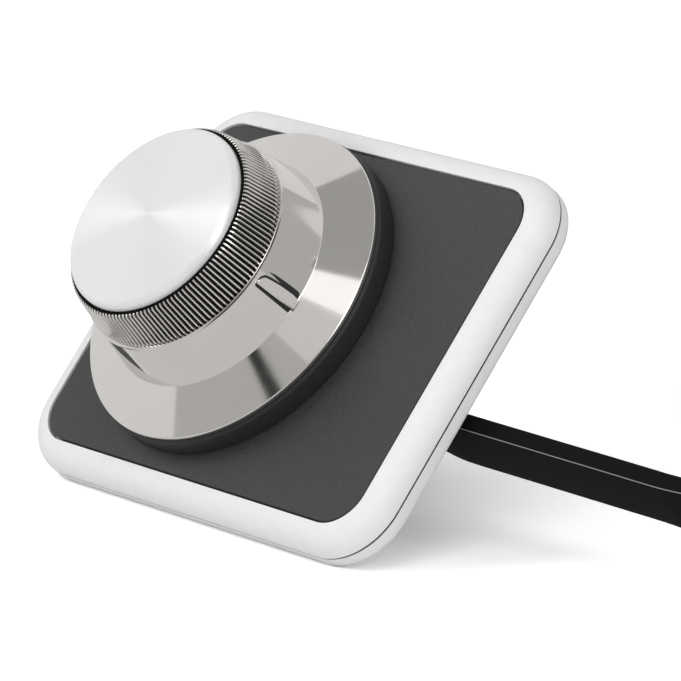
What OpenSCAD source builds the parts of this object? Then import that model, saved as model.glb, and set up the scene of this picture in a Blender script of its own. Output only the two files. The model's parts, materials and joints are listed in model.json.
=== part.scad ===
// Remote bass knob: a small desk or dash unit with one large metal knob on an inset panel.
// The plate stands on its lower edge and leans back on the housing behind it. Every piece is
// drawn in the plate's own frame (x to the right, y up the plate, z out of the panel's face)
// and set in its resting posture by posed(). The cord is drawn where it lies on the table.

/* [Panel and frame] */
// Width of the frame's window
panel_w = 60; // [58:0.5:76]
// Height of the frame's window
panel_h = 47; // [46:0.5:60]
// Corner radius of the frame's window
panel_r = 5; // [2:0.25:8]
// Thickness of the inset panel
panel_t = 1.2; // [0.8:0.1:1.6]
// Thickness of the adhesive sheet behind the panel
tape_t = 0.2; // [0.1:0.05:0.4]
// Gap all round the inset panel
panel_gap = 0.15; // [0.1:0.05:0.4]
// Depth of the panel below the frame's front
panel_recess = 0.1; // [0.05:0.05:0.6]
// Width of the frame round its window
frame_border = 3.15; // [2.5:0.05:6]
// Depth of the frame behind the panel's face
frame_t = 3; // [2.8:0.1:4]
// Rounding of the frame's front edge
frame_edge_r = 3; // [1:0.1:3.4]

/* [Rear cover] */
// Thickness of the rear cover
cover_t = 2.5; // [1.8:0.1:2.8]
// Rounding of the rear cover's back edge
cover_edge_r = 1.1; // [0.4:0.1:1.1]
// Height of the shadow gap between frame and cover
parting_gap = 0.2; // [0.15:0.05:0.4]
// Depth of that shadow gap
parting_depth = 0.8; // [0.4:0.1:1.4]
// Distance of the corner screws from the plate's sides
corner_screw_in = 7; // [6:0.25:9]

/* [Rear housing] */
// Width of the housing
housing_w = 38; // [36:0.5:42]
// Depth of the housing behind the cover
housing_depth = 16.7; // [16.4:0.1:20]
// Thickness of the housing's side walls
housing_wall = 1.8; // [1.4:0.1:2.2]
// Thickness of the housing's back wall
housing_floor = 2; // [1.6:0.1:2.6]
// Corner radius of the housing
housing_r = 3; // [2.4:0.1:5]
// Rounding of the housing's back edge
housing_edge_r = 1.5; // [0.5:0.1:1.6]
// Radius of the screw ears
ear_r = 2.7; // [2.5:0.1:3]
// Thickness of the screw ears
ear_t = 2; // [1.5:0.1:3]
// Pitch circle of the two mounting holes
mount_pcd = 24; // [20:0.5:26]
// Diameter of the mounting holes
mount_hole_d = 2.5; // [2:0.1:3]
// Depth of the mounting holes
mount_hole_depth = 3.2; // [2.5:0.1:3.6]
// Diameter of the mounting bosses
mount_boss_d = 6; // [5:0.5:8]
// Height of the mounting bosses above the back wall
mount_boss_h = 1.8; // [1.4:0.1:2]

/* [Knob] */
// Knob axis, right of the plate's middle
knob_x = -7; // [-8:0.25:-6]
// Knob axis, above the plate's middle
knob_y = 1; // [0:0.25:1.5]
// Direction of the index bar, in degrees from the x axis
index_angle = -5; // [-60:1:240]
// Diameter of the base ring
ring_d = 44; // [43:0.25:45]
// Height of the base ring
ring_h = 3.1; // [2.9:0.1:4]
// Radial width of the base ring
ring_w = 3.5; // [2:0.25:6]
// Running gap between base ring and knob
knob_gap = 0.3; // [0.3:0.05:0.6]
// Diameter of the skirt
skirt_d = 43.6; // [40:0.2:44]
// Height of the skirt's upright edge
skirt_edge = 0.35; // [0.2:0.05:0.6]
// Height of the skirt
skirt_h = 3; // [2.4:0.1:4]
// Diameter of the body at the skirt
body_low_d = 32; // [31:0.1:34]
// Diameter of the body under the grip
body_top_d = 29.4; // [29:0.1:31]
// Height of the body
body_h = 6.9; // [6:0.1:9]
// Wall of the knob shell
shell_wall = 1.7; // [1.3:0.1:1.8]
// Thickness of the shell's inner flange
flange_t = 2; // [1.5:0.1:2.5]
// Width of the index bar
index_w = 2; // [1.2:0.1:3]
// Height of the index bar above the body
index_h = 0.7; // [0.3:0.1:1.2]
// Height of the grip ring
grip_h = 5.2; // [4:0.1:7]
// Diameter of the grip at its foot
grip_low_d = 29.2; // [28.5:0.1:29.6]
// Diameter of the grip at its top
grip_top_d = 26.9; // [26.7:0.1:28]
// Number of flutes
flutes = 144; // [96:6:160]
// Depth of the flutes
flute_depth = 0.25; // [0.1:0.05:0.3]
// Diameter of the cap
cap_d = 25.4; // [24.6:0.1:25.4]
// Gap round the cap
cap_gap = 0.25; // [0.15:0.05:0.3]
// Depth of the cap's seat below the grip's top
cap_sink = 1.5; // [1:0.1:2]
// Height of the cap's rim above the grip's top
cap_rise = 1.3; // [0.9:0.1:2]
// Crown of the cap
cap_dome = 0.5; // [0.2:0.1:1.2]
// Rounding of the cap's rim
cap_edge_r = 0.8; // [0.3:0.1:0.9]

/* [Potentiometer] */
// Diameter of the shaft
shaft_d = 6; // [5:0.1:6.4]
// Running clearance of the shaft, on the radius
shaft_run = 0.03; // [0.02:0.01:0.06]
// Thread diameter of the bushing
bushing_d = 7.6; // [7.2:0.1:8.4]
// Diameter of the case
pot_d = 17; // [16:0.25:17.5]
// Depth of the case behind its front plate
pot_depth = 8; // [7:0.1:8.6]
// Thickness of the pot's front plate
plate_t = 1; // [0.8:0.1:1.4]
// Wall of the case
case_wall = 0.6; // [0.4:0.1:0.8]
// Thickness of the resistive wafer
wafer_t = 1; // [0.8:0.1:1.4]
// Diameter of the wiper's rotor
rotor_d = 13; // [11:0.25:13.5]
// Thickness of the wiper's rotor
rotor_t = 2; // [1.4:0.1:2.4]
// Width of the mounting nut across its flats
nut_af = 11; // [10:0.5:12]
// Height of the mounting nut
nut_h = 2; // [1.6:0.1:2.4]
// Diameter of the washer
washer_d = 13; // [12:0.5:15]
// Thickness of the washer
washer_t = 0.6; // [0.4:0.1:1]

/* [Circuit board] */
// Distance from the panel's face to the board
board_z = 15.2; // [15:0.1:15.6]
// Thickness of the board
board_t = 1.6; // [1:0.1:1.6]
// Gap between the board and the housing
board_gap = 0.8; // [0.5:0.1:1.4]
// Board left between the pot's terminals and its lower edge
board_edge = 0.85; // [0.5:0.05:2]
// Distance of the board's screws from its left and right edges
standoff_in = 2.4; // [2.2:0.1:3]
// Distance of the board's screws from its upper edge
standoff_down = 3.8; // [2.4:0.1:5]
// Width of the standoffs across their flats
standoff_af = 4.4; // [4:0.1:5]

/* [Cable] */
// Width of the flat cable
cable_w = 7; // [6:0.1:7.2]
// Thickness of the flat cable
cable_t = 2.5; // [2:0.1:2.6]
// Distance of the cable's exit below the knob axis
lead_down = 5.5; // [4.5:0.1:6]
// Depth of the cable's exit behind the panel's face
lead_depth = 11; // [10.8:0.1:11.2]
// Length of the strain relief outside the housing
relief_l = 8; // [6:0.5:9]
// Rubber round the cable in the strain relief
relief_wall = 0.9; // [0.7:0.05:1]
// Turns of the coil
coil_turns = 20.75; // [16.75:1:21.75]
// Radius of the coil's outermost turn
coil_out = 51; // [49:0.5:55]

/* [Plug] */
// Width of the plug
plug_w = 9.65; // [9:0.05:12]
// Length of the plug
plug_l = 13.4; // [12:0.1:18]
// Height of the plug
plug_h = 6.6; // [6:0.1:7]
// Number of contacts
plug_ways = 6; // [4:2:6]

/* [Hidden] */
$fn = 96;
// Clearance of pieces that are pushed or screwed together, on the radius
fit = 0.05;
// A cut runs past the face it opens by this much
past = 1;
// Fasteners: shank, head diameter and head height
screw_d = 2.5;
screw_head_d = 4.4;
screw_head_h = 1.5;
small_screw_d = 2;
small_head_d = 3.6;
small_head_h = 1.3;
// Metal left in front of a blind screw hole
blind = 0.3;

// Outline of the plate
frame_w = panel_w + 2 * frame_border;
frame_h = panel_h + 2 * frame_border;
frame_r = panel_r + frame_border;
// The front rounding leaves a little of the lip's face and of the side
edge_land = 0.1;
front_round = min(frame_edge_r, frame_border - edge_land, frame_t + panel_recess - edge_land);

// Levels along the plate's normal, from the panel's face
z_seat = -panel_t - tape_t;
z_part = -frame_t;
z_cover = z_part - cover_t;
z_back = z_cover - housing_depth;
z_inside = z_back + housing_floor;
z_board = -board_z;
z_lead = -lead_depth;
z_skirt = ring_h + knob_gap;
z_junction = z_skirt + skirt_h;
z_body = z_junction + body_h;
z_grip = z_body + grip_h;
z_cap = z_grip - cap_sink;
z_rim = z_grip + cap_rise;
z_nut = washer_t + nut_h;
bushing_free = 0.6;
z_bushing = z_nut + bushing_free;
clip_gap = 0.15;
clip_t = 0.4;
clip_w = 1.6;
clip_groove = 0.4;
z_clip = z_bushing + clip_gap;
hub_gap = 0.2;
z_hub = z_clip + clip_t + hub_gap;
shaft_in_core = 0.8;
z_shaft = z_body + shaft_in_core;

// Pot: pegs, tongue and terminals
lug_d = 1.8;
lug_h = 1.1;
lug_r = 6.6;
tongue_w = 11;
tongue_free = 0.9;
tongue_out = pot_d / 2 + tongue_free;
terminal_pitch = 4;
terminal_w = 0.9;
terminal_t = 0.4;
terminal_grip = 1;
terminal_tail = 0.8;
terminal_out = tongue_out + terminal_grip;
case_slot = 0.3;
wiper_gap = 0.15;
wiper_w = 0.8;
wiper_h = 0.5;
wiper_r = 4.6;
spigot_d = 4;

// The housing is as high as the pot with its terminals and the board below them need
housing_h = 2 * (terminal_out + board_edge + board_gap + housing_wall);
housing_foot = knob_y - housing_h / 2;

// Resting posture: the cover's lower back edge and the housing's both touch z = 0, each along
// its rounding, and that sets the plate's angle to the table
cover_round = [cover_edge_r - frame_h / 2, z_cover + cover_edge_r];
housing_round = [housing_foot + housing_edge_r, z_back + housing_edge_r];
apart = housing_round - cover_round;
tilt = asin((housing_edge_r - cover_edge_r) / norm(apart)) - atan2(apart[1], apart[0]);
low = sin(tilt) * cover_round[0] + cos(tilt) * cover_round[1] - cover_edge_r;
cap_ring_r = cap_d / 2 - cap_edge_r;
cap_front = cos(tilt) * (knob_y - cap_ring_r) - sin(tilt) * (z_rim - cap_edge_r) - cap_edge_r;
grip_front = cos(tilt) * (knob_y - grip_top_d / 2) - sin(tilt) * z_grip;
housing_top = knob_y + housing_h / 2 - housing_edge_r;
housing_rear = cos(tilt) * housing_top - sin(tilt) * housing_round[1] + housing_edge_r;
middle = (min(cap_front, grip_front) + housing_rear) / 2;
function in_posture(p) = [
    p[0],
    cos(tilt) * p[1] - sin(tilt) * p[2] - middle,
    sin(tilt) * p[1] + cos(tilt) * p[2] - low
];

// Inside of the housing, and the cable's way through its right wall
room_w = housing_w - 2 * housing_wall;
room_h = housing_h - 2 * housing_wall;
room_r = housing_r - housing_wall;
wall_in = knob_x + room_w / 2;
wall_out = knob_x + housing_w / 2;
lead_y = knob_y - lead_down;
lead_tip = wall_out + relief_l;
relief_flange_t = 1;
relief_step = 0.6;

// Screws at the plate's corners, the housing's ears and the board
corner_x = frame_w / 2 - corner_screw_in;
corner_y = frame_h / 2 - corner_screw_in;
ear_x = housing_w / 2 + ear_r;
ear_y = housing_h / 2 - ear_r;
knob_screws_n = 3;
knob_screw_r = 10.9;
// Length of the knob screws in the core, and the play in the shell's holes
knob_screw_grip = 2.4;
screw_play = 0.15;

// Hub of the knob's core
hub_d = shaft_d + 5;
shaft_flat = 0.75;
hub_clip_t = 0.6;
hub_clip_h = 2;
hub_clip_slit = 1.4;

// Board and what is on it. The board ends short of the strain relief's flange, level with its
// connector, and board_parts are [x, y, width, height] from the knob axis
board_left = knob_x - room_w / 2 + board_gap;
board_right = wall_in - relief_flange_t - board_gap;
board_h = room_h - 2 * board_gap;
board_parts = [[-2.5, -1, 5, 4], [-6, -6, 1.6, 0.8], [5, -6, 1.6, 0.8], [-1.5, 6, 3.2, 1.6]];
connector_l = 5.6;
connector_w = 6;
connector_top = 8.4;
connector_grip = 1.6;
chip_h = 1.2;
// Length of the board screws in their standoffs
board_screw_grip = 3.5;

// Where each repeated screw sits
function both(x, y) = [for (i = [-1, 1], j = [-1, 1]) [i * x, j * y]];
corner_spots = both(corner_x, corner_y);
ear_spots = [for (p = both(ear_x, ear_y)) p + [knob_x, knob_y]];
standoff_y = knob_y + board_h / 2 - standoff_down;
standoff_spots = [for (x = [board_left + standoff_in, board_right - standoff_in]) [x, standoff_y]];

// The cord on the table: route points are [x, y, z, lean], where lean turns the cable's wide
// side from upright to the right of its way, in degrees. It runs out to the right, bends back
// and comes down into the coil's lower layer
cable_exit = in_posture([lead_tip, lead_y, z_lead]);
run_y = 3.7;
run_z = 12.96;
run_lean = 36.5;
bend_x = 66;
bend_r = 19.5;
coil_x = bend_x + bend_r - coil_out;
coil_y = 108;
straight = 7;
tie_t = 0.6;
tie_w = 4;
tie_clear = 0.1;
tie_angle = 30;
turn_gap = 0.5;
layer_gap = 0.6;
coil_pitch = cable_t + turn_gap;
coil_low = tie_t + tie_clear + cable_w / 2;
coil_high = coil_low + cable_w + layer_gap;
coil_dip = 2;
// Turns on each side of the middle over which the winding dips inwards
dip_turns = 0.375;
loop_rings = 24;
function on_bend(a, z, lean) = [bend_x + bend_r * cos(a), run_y + bend_r * (1 + sin(a)), z, lean];
run_route = [
    [cable_exit[0], cable_exit[1], cable_exit[2], tilt],
    [cable_exit[0] + 3, cable_exit[1], cable_exit[2], tilt - 4],
    [26, run_y, run_z, run_lean + 3],
    [29, run_y, run_z, run_lean],
    [34, run_y, run_z - 0.03, run_lean],
    [40, run_y, run_z - 0.06, run_lean],
    [46, run_y, run_z - 0.1, run_lean],
    [52, run_y, run_z - 0.13, run_lean],
    [57, run_y, run_z - 0.16, run_lean],
    [62, run_y, run_z - 0.2, run_lean],
    on_bend(-90, 12.7, 35),
    on_bend(-72, 12.4, 29),
    on_bend(-54, 11.8, 22),
    on_bend(-36, 11, 15),
    on_bend(-18, 9.9, 9),
    on_bend(0, 8.7, 4),
    [bend_x + bend_r, 40, 6.8, 1],
    [bend_x + bend_r, 53, 5.4, 0],
    [bend_x + bend_r, 67, 4.5, 0],
    [bend_x + bend_r, 83, coil_low, 0],
    [bend_x + bend_r, coil_y - straight, coil_low, 0]
];
tail_y = coil_y - coil_out;
tail_route = [
    [coil_x + straight, tail_y, coil_high, 0],
    [coil_x + 11, tail_y, 11.6, 10],
    [coil_x + 14.5, tail_y - 0.2, 10.8, 26],
    [coil_x + 18, tail_y - 0.5, 9.4, 46],
    [coil_x + 21.5, tail_y - 0.9, 7.3, 66],
    [coil_x + 25, tail_y - 1.3, 5.1, 82],
    [coil_x + 28.5, tail_y - 1.5, 3.7, 89],
    [coil_x + 32.5, tail_y - 1.5, plug_h / 2, 90]
];
plug_at = tail_route[len(tail_route) - 1];

// Placing

module posed() {
    translate([0, -middle, -low])
        rotate([tilt, 0, 0])
            children();
}

module on_knob_axis() {
    posed()
        translate([knob_x, knob_y, 0])
            children();
}

module at_spots(spots) {
    for (p = spots)
        translate([p[0], p[1], 0])
            children();
}

// Shapes that repeat

module rounded_rect(w, h, r) {
    square([w - 2 * r, h], center = true);
    square([w, h - 2 * r], center = true);
    for (p = both(w / 2 - r, h / 2 - r))
        translate(p)
            circle(r = r);
}

module slab(w, h, r, z0, z1) {
    translate([0, 0, z0])
        linear_extrude(z1 - z0)
            rounded_rect(w, h, r);
}

module drill(d, z0, z1) {
    translate([0, 0, z0])
        cylinder(d = d, h = z1 - z0);
}

// A quarter circle round (x, z), from its outermost point to its highest
function quarter(x, z, r, steps) = [
    for (i = [0:steps])
        let (a = 90 * i / steps)
            [x + r * cos(a), z + r * sin(a)]
];

// A plate with round corners and a rounded upper edge, standing on z = 0
module edge_rounded_plate(w, h, r, t, edge) {
    steps = 6;
    side = quarter(r - edge, t - edge, edge, steps);
    hull()
        for (p = both(w / 2 - r, h / 2 - r))
            translate(p)
                rotate_extrude($fn = 40)
                    polygon(concat([[0, 0], [r, 0]], side, [[0, t]]));
}

// A screw along -z with its head's underside on z = 0 and its head above
module pan_screw(d, length, head_d, head_h) {
    drill(d, -length, 0);
    cylinder(d = head_d, h = head_h);
}

// A tube swept through rings of points, closed at both ends
module swept(rings) {
    n = len(rings[0]);
    last = len(rings) - 1;
    sides = [
        for (i = [0:last - 1], j = [0:n - 1])
            let (a = i * n + j, b = i * n + (j + 1) % n)
                each [[a, b, b + n], [a, b + n, a + n]]
    ];
    start = [for (j = [1:n - 2]) [0, j + 1, j]];
    end = [for (j = [1:n - 2]) [last * n, last * n + j, last * n + j + 1]];
    polyhedron([for (r = rings) each r], concat(sides, start, end), convexity = 10);
}

// The cable's section, as [along its width, along its thickness]
flat_edge = 0.6;
section_8 = let (w = cable_w / 2, t = cable_t / 2, e = flat_edge) [
    [w, t - e], [w - e, t], [e - w, t], [-w, t - e], [-w, e - t], [e - w, -t], [w - e, -t], [w, e - t]
];
section_6 = let (w = cable_w / 2, t = cable_t / 2) [
    [w, 0], [w - t, t], [t - w, t], [-w, 0], [t - w, -t], [w - t, -t]
];

function unit(v) = v / norm(v);
function place(p) = [p[0], p[1], p[2]];
// A ring of the section round centre c, with the cable's wide side along wide
function ring_at(c, along, wide, section) =
    let (w = unit(wide - (wide * along) * along), t = cross(along, w))
        [for (q = section) c + q[0] * w + q[1] * t];
// The rings along a route, which starts along from and ends along to
function route_rings(route, from, to) = [
    for (i = [0:len(route) - 1])
        let (
            last = i == len(route) - 1,
            along = i == 0 ? from : last ? to : unit(place(route[i + 1]) - place(route[i - 1])),
            lean = route[i][3],
            right = unit([along[1], -along[0], 0])
        )
            ring_at(place(route[i]), along, sin(lean) * right + [0, 0, cos(lean)], section_8)
];

// Plate, cover and housing

module front_frame() {
    color("gainsboro")
        posed()
            difference() {
                translate([0, 0, z_part])
                    edge_rounded_plate(frame_w, frame_h, frame_r, frame_t + panel_recess, front_round);
                slab(panel_w, panel_h, panel_r, z_seat, panel_recess + past);
                translate([knob_x, knob_y, 0]) {
                    drill(bushing_d + 2 * fit, z_part - past, past);
                    translate([0, lug_r, 0])
                        drill(lug_d + 2 * fit, z_part - past, z_part + lug_h + fit);
                }
                at_spots(concat(corner_spots, ear_spots, standoff_spots))
                    drill(screw_d + 2 * fit, z_part - past, z_seat - blind);
            }
}

module panel_tape() {
    inset = 1;
    hole_play = 1;
    grow = 2 * (panel_gap + inset);
    color("khaki")
        posed()
            difference() {
                slab(panel_w - grow, panel_h - grow, panel_r - grow / 2, z_seat, -panel_t);
                translate([knob_x, knob_y, 0])
                    drill(bushing_d + 2 * hole_play, z_seat - past, past);
            }
}

module front_panel() {
    color("#3c3c3e")
        posed()
            difference() {
                slab(panel_w - 2 * panel_gap, panel_h - 2 * panel_gap, panel_r - panel_gap, -panel_t, 0);
                translate([knob_x, knob_y, 0])
                    drill(bushing_d + 2 * fit, -panel_t - past, past);
            }
}

module base_ring() {
    edge = 0.6;
    steps = 5;
    r = ring_d / 2;
    round = quarter(r - edge, ring_h - edge, edge, steps);
    color("#1a1a1b")
        on_knob_axis()
            rotate_extrude()
                polygon(concat([[r - ring_w, 0], [r, 0]], round, [[r - ring_w, ring_h]]));
}

module rear_cover() {
    rim_t = cover_t - parting_gap;
    overlap = rim_t - cover_edge_r;
    step_w = frame_w - 2 * parting_depth;
    step_h = frame_h - 2 * parting_depth;
    color("gainsboro")
        posed()
            difference() {
                union() {
                    translate([0, 0, z_part - parting_gap])
                        mirror([0, 0, 1])
                            edge_rounded_plate(frame_w, frame_h, frame_r, rim_t, cover_edge_r);
                    slab(step_w, step_h, frame_r - parting_depth, z_part - parting_gap - overlap, z_part);
                }
                translate([knob_x, knob_y, 0])
                    slab(room_w, room_h, room_r, z_cover - past, z_part + past);
                at_spots(corner_spots) {
                    drill(screw_d + 2 * fit, z_cover - past, z_part + past);
                    countersink(fit);
                }
                at_spots(ear_spots)
                    drill(screw_d + 2 * fit, z_cover - past, z_part + past);
            }
}

// A countersunk head's cone, with its wide end on the cover's back
module countersink(clear) {
    head_h = (screw_head_d - screw_d) / 2;
    translate([0, 0, z_cover])
        cylinder(d1 = screw_head_d + 2 * clear, d2 = screw_d + 2 * clear, h = head_h);
}

module cover_screws() {
    color("silver")
        posed()
            at_spots(corner_spots) {
                countersink(0);
                drill(screw_d, z_cover + fit, z_seat - blind - fit);
            }
}

module rear_housing() {
    color("#1d1d1e")
        posed()
            difference() {
                union() {
                    translate([knob_x, knob_y, z_cover])
                        mirror([0, 0, 1])
                            housing_block();
                    at_spots(ear_spots)
                        drill(2 * ear_r, z_cover - ear_t, z_cover);
                    for (s = [-1, 1])
                        translate([knob_x, knob_y + s * ear_y, z_cover - ear_t / 2])
                            cube([2 * ear_x, 2 * ear_r, ear_t], center = true);
                }
                difference() {
                    translate([knob_x, knob_y, 0])
                        slab(room_w, room_h, room_r, z_inside, z_cover + past);
                    on_mount_circle()
                        drill(mount_boss_d, z_back, z_inside + mount_boss_h);
                }
                on_mount_circle()
                    drill(mount_hole_d, z_back - past, z_back + mount_hole_depth);
                at_spots(ear_spots)
                    drill(screw_d + 2 * fit, z_cover - ear_t - past, z_cover + past);
                translate([(wall_in + wall_out) / 2, lead_y, z_lead])
                    cube([housing_wall + 2 * past, relief_thick(fit), relief_wide(fit)], center = true);
            }
}

module housing_block() {
    edge_rounded_plate(housing_w, housing_h, housing_r, housing_depth, housing_edge_r);
}

module on_mount_circle() {
    for (s = [-1, 1])
        translate([knob_x + s * mount_pcd / 2, knob_y, 0])
            children();
}

module housing_screws() {
    length = z_seat - blind - fit - z_cover + ear_t;
    color("dimgray")
        posed()
            at_spots(ear_spots)
                translate([0, 0, z_cover - ear_t])
                    mirror([0, 0, 1])
                        pan_screw(screw_d, length, screw_head_d, screw_head_h);
}

// Size of the strain relief's neck, across the cable's thickness and its width
function relief_thick(clear) = cable_t + 2 * (relief_wall + clear);
function relief_wide(clear) = cable_w + 2 * (relief_wall + clear);

module relief_block(x0, x1, more) {
    translate([(x0 + x1) / 2, lead_y, z_lead])
        cube([x1 - x0, relief_thick(more), relief_wide(more)], center = true);
}

// The space that the cable takes on its straight way out, between two places along x
module cable_way(x0, x1) {
    translate([x0, lead_y - cable_t / 2 - fit, z_lead - cable_w / 2 - fit])
        cube([x1 - x0, cable_t + 2 * fit, cable_w + 2 * fit]);
}

module strain_relief() {
    tip_slice = 0.5;
    tip_less = 0.5;
    color("#141414")
        posed()
            difference() {
                union() {
                    relief_block(wall_in - relief_flange_t, wall_in, relief_step);
                    relief_block(wall_in, wall_out, 0);
                    hull() {
                        relief_block(wall_out, wall_out + tip_slice, relief_step);
                        relief_block(lead_tip - tip_slice, lead_tip, -tip_less);
                    }
                }
                cable_way(wall_in - relief_flange_t - past, lead_tip + past);
            }
}

module inner_lead() {
    from = board_right - connector_grip;
    color("#202020")
        posed()
            translate([from, lead_y, z_lead])
                rotate([90, 0, 90])
                    linear_extrude(lead_tip - from)
                        polygon([for (q = section_8) [q[1], q[0]]]);
}

// Circuit board

module circuit_board() {
    color("darkgreen")
        posed()
            difference() {
                translate([board_left, knob_y - board_h / 2, z_board - board_t])
                    cube([board_right - board_left, board_h, board_t]);
                at_spots(standoff_spots)
                    drill(small_screw_d + 2 * fit, z_board - board_t - past, z_board + past);
                at_terminals()
                    translate([0, 0, z_board - board_t / 2])
                        cube([terminal_w + 4 * fit, terminal_t + 4 * fit, board_t + 2 * past], center = true);
            }
}

module board_connector() {
    color("ivory")
        posed()
            difference() {
                translate([board_right - connector_l, lead_y - connector_w / 2, z_board])
                    cube([connector_l, connector_w, connector_top]);
                cable_way(board_right - connector_grip - fit, board_right + past);
            }
}

module board_standoffs() {
    stud = 1;
    color("goldenrod")
        posed()
            at_spots(standoff_spots)
                difference() {
                    union() {
                        translate([0, 0, z_board])
                            cylinder(d = standoff_af / cos(30), h = z_part - z_board, $fn = 6);
                        drill(screw_d, z_part - past, z_part + stud);
                    }
                    drill(small_screw_d + 2 * fit, z_board - past, z_board + board_screw_grip + fit);
                }
}

module board_screws() {
    color("silver")
        posed()
            at_spots(standoff_spots)
                translate([0, 0, z_board - board_t])
                    mirror([0, 0, 1])
                        pan_screw(small_screw_d, board_t + board_screw_grip, small_head_d, small_head_h);
}

module board_chips() {
    color("#151515")
        posed()
            for (p = board_parts)
                translate([knob_x + p[0], knob_y + p[1], z_board - board_t - chip_h])
                    cube([p[2], p[3], chip_h]);
}

// Potentiometer, all on the knob axis

module at_terminals() {
    for (i = [-1, 0, 1])
        translate([knob_x + i * terminal_pitch, knob_y - terminal_out + terminal_t / 2, 0])
            children();
}

module pot_bushing() {
    color("goldenrod")
        on_knob_axis()
            difference() {
                union() {
                    drill(pot_d, z_part - plate_t, z_part);
                    drill(bushing_d, z_part - plate_t, z_bushing);
                    translate([0, lug_r, 0])
                        drill(lug_d, z_part - plate_t, z_part + lug_h);
                }
                drill(shaft_d + 2 * shaft_run, z_part - plate_t - past, z_bushing + past);
            }
}

module pot_case() {
    top = z_part - plate_t;
    slot_h = wafer_t + terminal_t + case_slot + past;
    color("silver")
        on_knob_axis()
            difference() {
                drill(pot_d, top - pot_depth, top);
                drill(pot_d - 2 * case_wall, top - pot_depth + case_wall, top + past);
                translate([0, -pot_d / 2, top + past - slot_h / 2])
                    cube([tongue_w + 2 * case_slot, pot_d / 2, slot_h], center = true);
            }
}

module pot_track() {
    top = z_part - plate_t;
    hole_play = 0.5;
    color("peru")
        on_knob_axis()
            difference() {
                union() {
                    drill(pot_d - 2 * case_wall - 2 * fit, top - wafer_t, top);
                    translate([-tongue_w / 2, -tongue_out, top - wafer_t])
                        cube([tongue_w, tongue_out, wafer_t]);
                }
                drill(shaft_d + 2 * hole_play, top - wafer_t - past, top + past);
            }
}

module pot_terminals() {
    under = z_part - plate_t - wafer_t;
    color("silver")
        posed()
            at_terminals() {
                translate([-terminal_w / 2, -terminal_t / 2, under - terminal_t])
                    cube([terminal_w, 2 * terminal_grip, terminal_t]);
                translate([-terminal_w / 2, -terminal_t / 2, z_board - board_t - terminal_tail])
                    cube([terminal_w, terminal_t, under - z_board + board_t + terminal_tail]);
            }
}

module pot_washer() {
    color("silver")
        on_knob_axis()
            difference() {
                drill(washer_d, 0, washer_t);
                drill(bushing_d + 2 * fit, -past, washer_t + past);
            }
}

module pot_nut() {
    color("silver")
        on_knob_axis()
            difference() {
                translate([0, 0, washer_t])
                    cylinder(d = nut_af / cos(30), h = nut_h, $fn = 6);
                drill(bushing_d + 2 * fit, -past, z_nut + past);
            }
}

module shaft_flat_cut(clear) {
    translate([-shaft_d, shaft_d / 2 - shaft_flat + clear, z_hub])
        cube([2 * shaft_d, shaft_d, z_shaft - z_hub + past]);
}

module pot_shaft() {
    top = z_part - plate_t - wafer_t - wiper_gap - wiper_h;
    spigot_free = 1;
    color("lightsteelblue")
        on_knob_axis()
            difference() {
                union() {
                    drill(shaft_d, top, z_shaft);
                    drill(spigot_d, top - rotor_t - spigot_free, top);
                }
                shaft_flat_cut(0);
                difference() {
                    drill(shaft_d + past, z_clip - fit, z_clip + clip_t + fit);
                    drill(shaft_d - 2 * clip_groove, z_clip - past, z_clip + clip_t + past);
                }
            }
}

module pot_wiper() {
    top = z_part - plate_t - wafer_t - wiper_gap - wiper_h;
    color("saddlebrown")
        on_knob_axis()
            difference() {
                union() {
                    drill(rotor_d, top - rotor_t, top);
                    for (a = [0, 180])
                        rotate(a)
                            translate([wiper_r, 0, top - fit])
                                cylinder(d = wiper_w, h = wiper_h + fit);
                }
                drill(spigot_d + 2 * fit, top - rotor_t - past, top + past);
            }
}

module shaft_clip() {
    bore = shaft_d - 2 * clip_groove + 2 * fit;
    mouth = 3.6;
    color("dimgray")
        on_knob_axis()
            difference() {
                drill(shaft_d + 2 * clip_w, z_clip, z_clip + clip_t);
                drill(bore, z_clip - past, z_clip + clip_t + past);
                translate([0, -shaft_d, z_clip + clip_t / 2])
                    cube([mouth, 2 * shaft_d, clip_t + past], center = true);
            }
}

// Knob

module at_knob_screws() {
    first = index_angle + 180 / knob_screws_n;
    for (i = [0:knob_screws_n - 1])
        rotate(first + i * 360 / knob_screws_n)
            translate([knob_screw_r, 0, 0])
                children();
}

module knob_core() {
    color("#101010")
        on_knob_axis()
            difference() {
                union() {
                    drill(cap_d + 2 * cap_gap - 2 * fit, z_body, z_cap);
                    drill(hub_d, z_hub, z_cap);
                }
                difference() {
                    drill(shaft_d + 2 * fit, z_hub - past, z_shaft + fit);
                    shaft_flat_cut(fit);
                }
                at_knob_screws()
                    drill(small_screw_d + 2 * fit, z_body - past, z_body + knob_screw_grip + fit);
            }
}

module hub_clip() {
    r = hub_d / 2 + fit;
    color("lightslategray")
        on_knob_axis()
            difference() {
                drill(2 * (r + hub_clip_t), z_hub + fit, z_hub + fit + hub_clip_h);
                drill(2 * r, z_hub - past, z_hub + hub_clip_h + past);
                translate([0, -r, z_hub + fit + hub_clip_h / 2])
                    cube([hub_clip_slit, 2 * r, hub_clip_h + past], center = true);
            }
}

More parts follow.
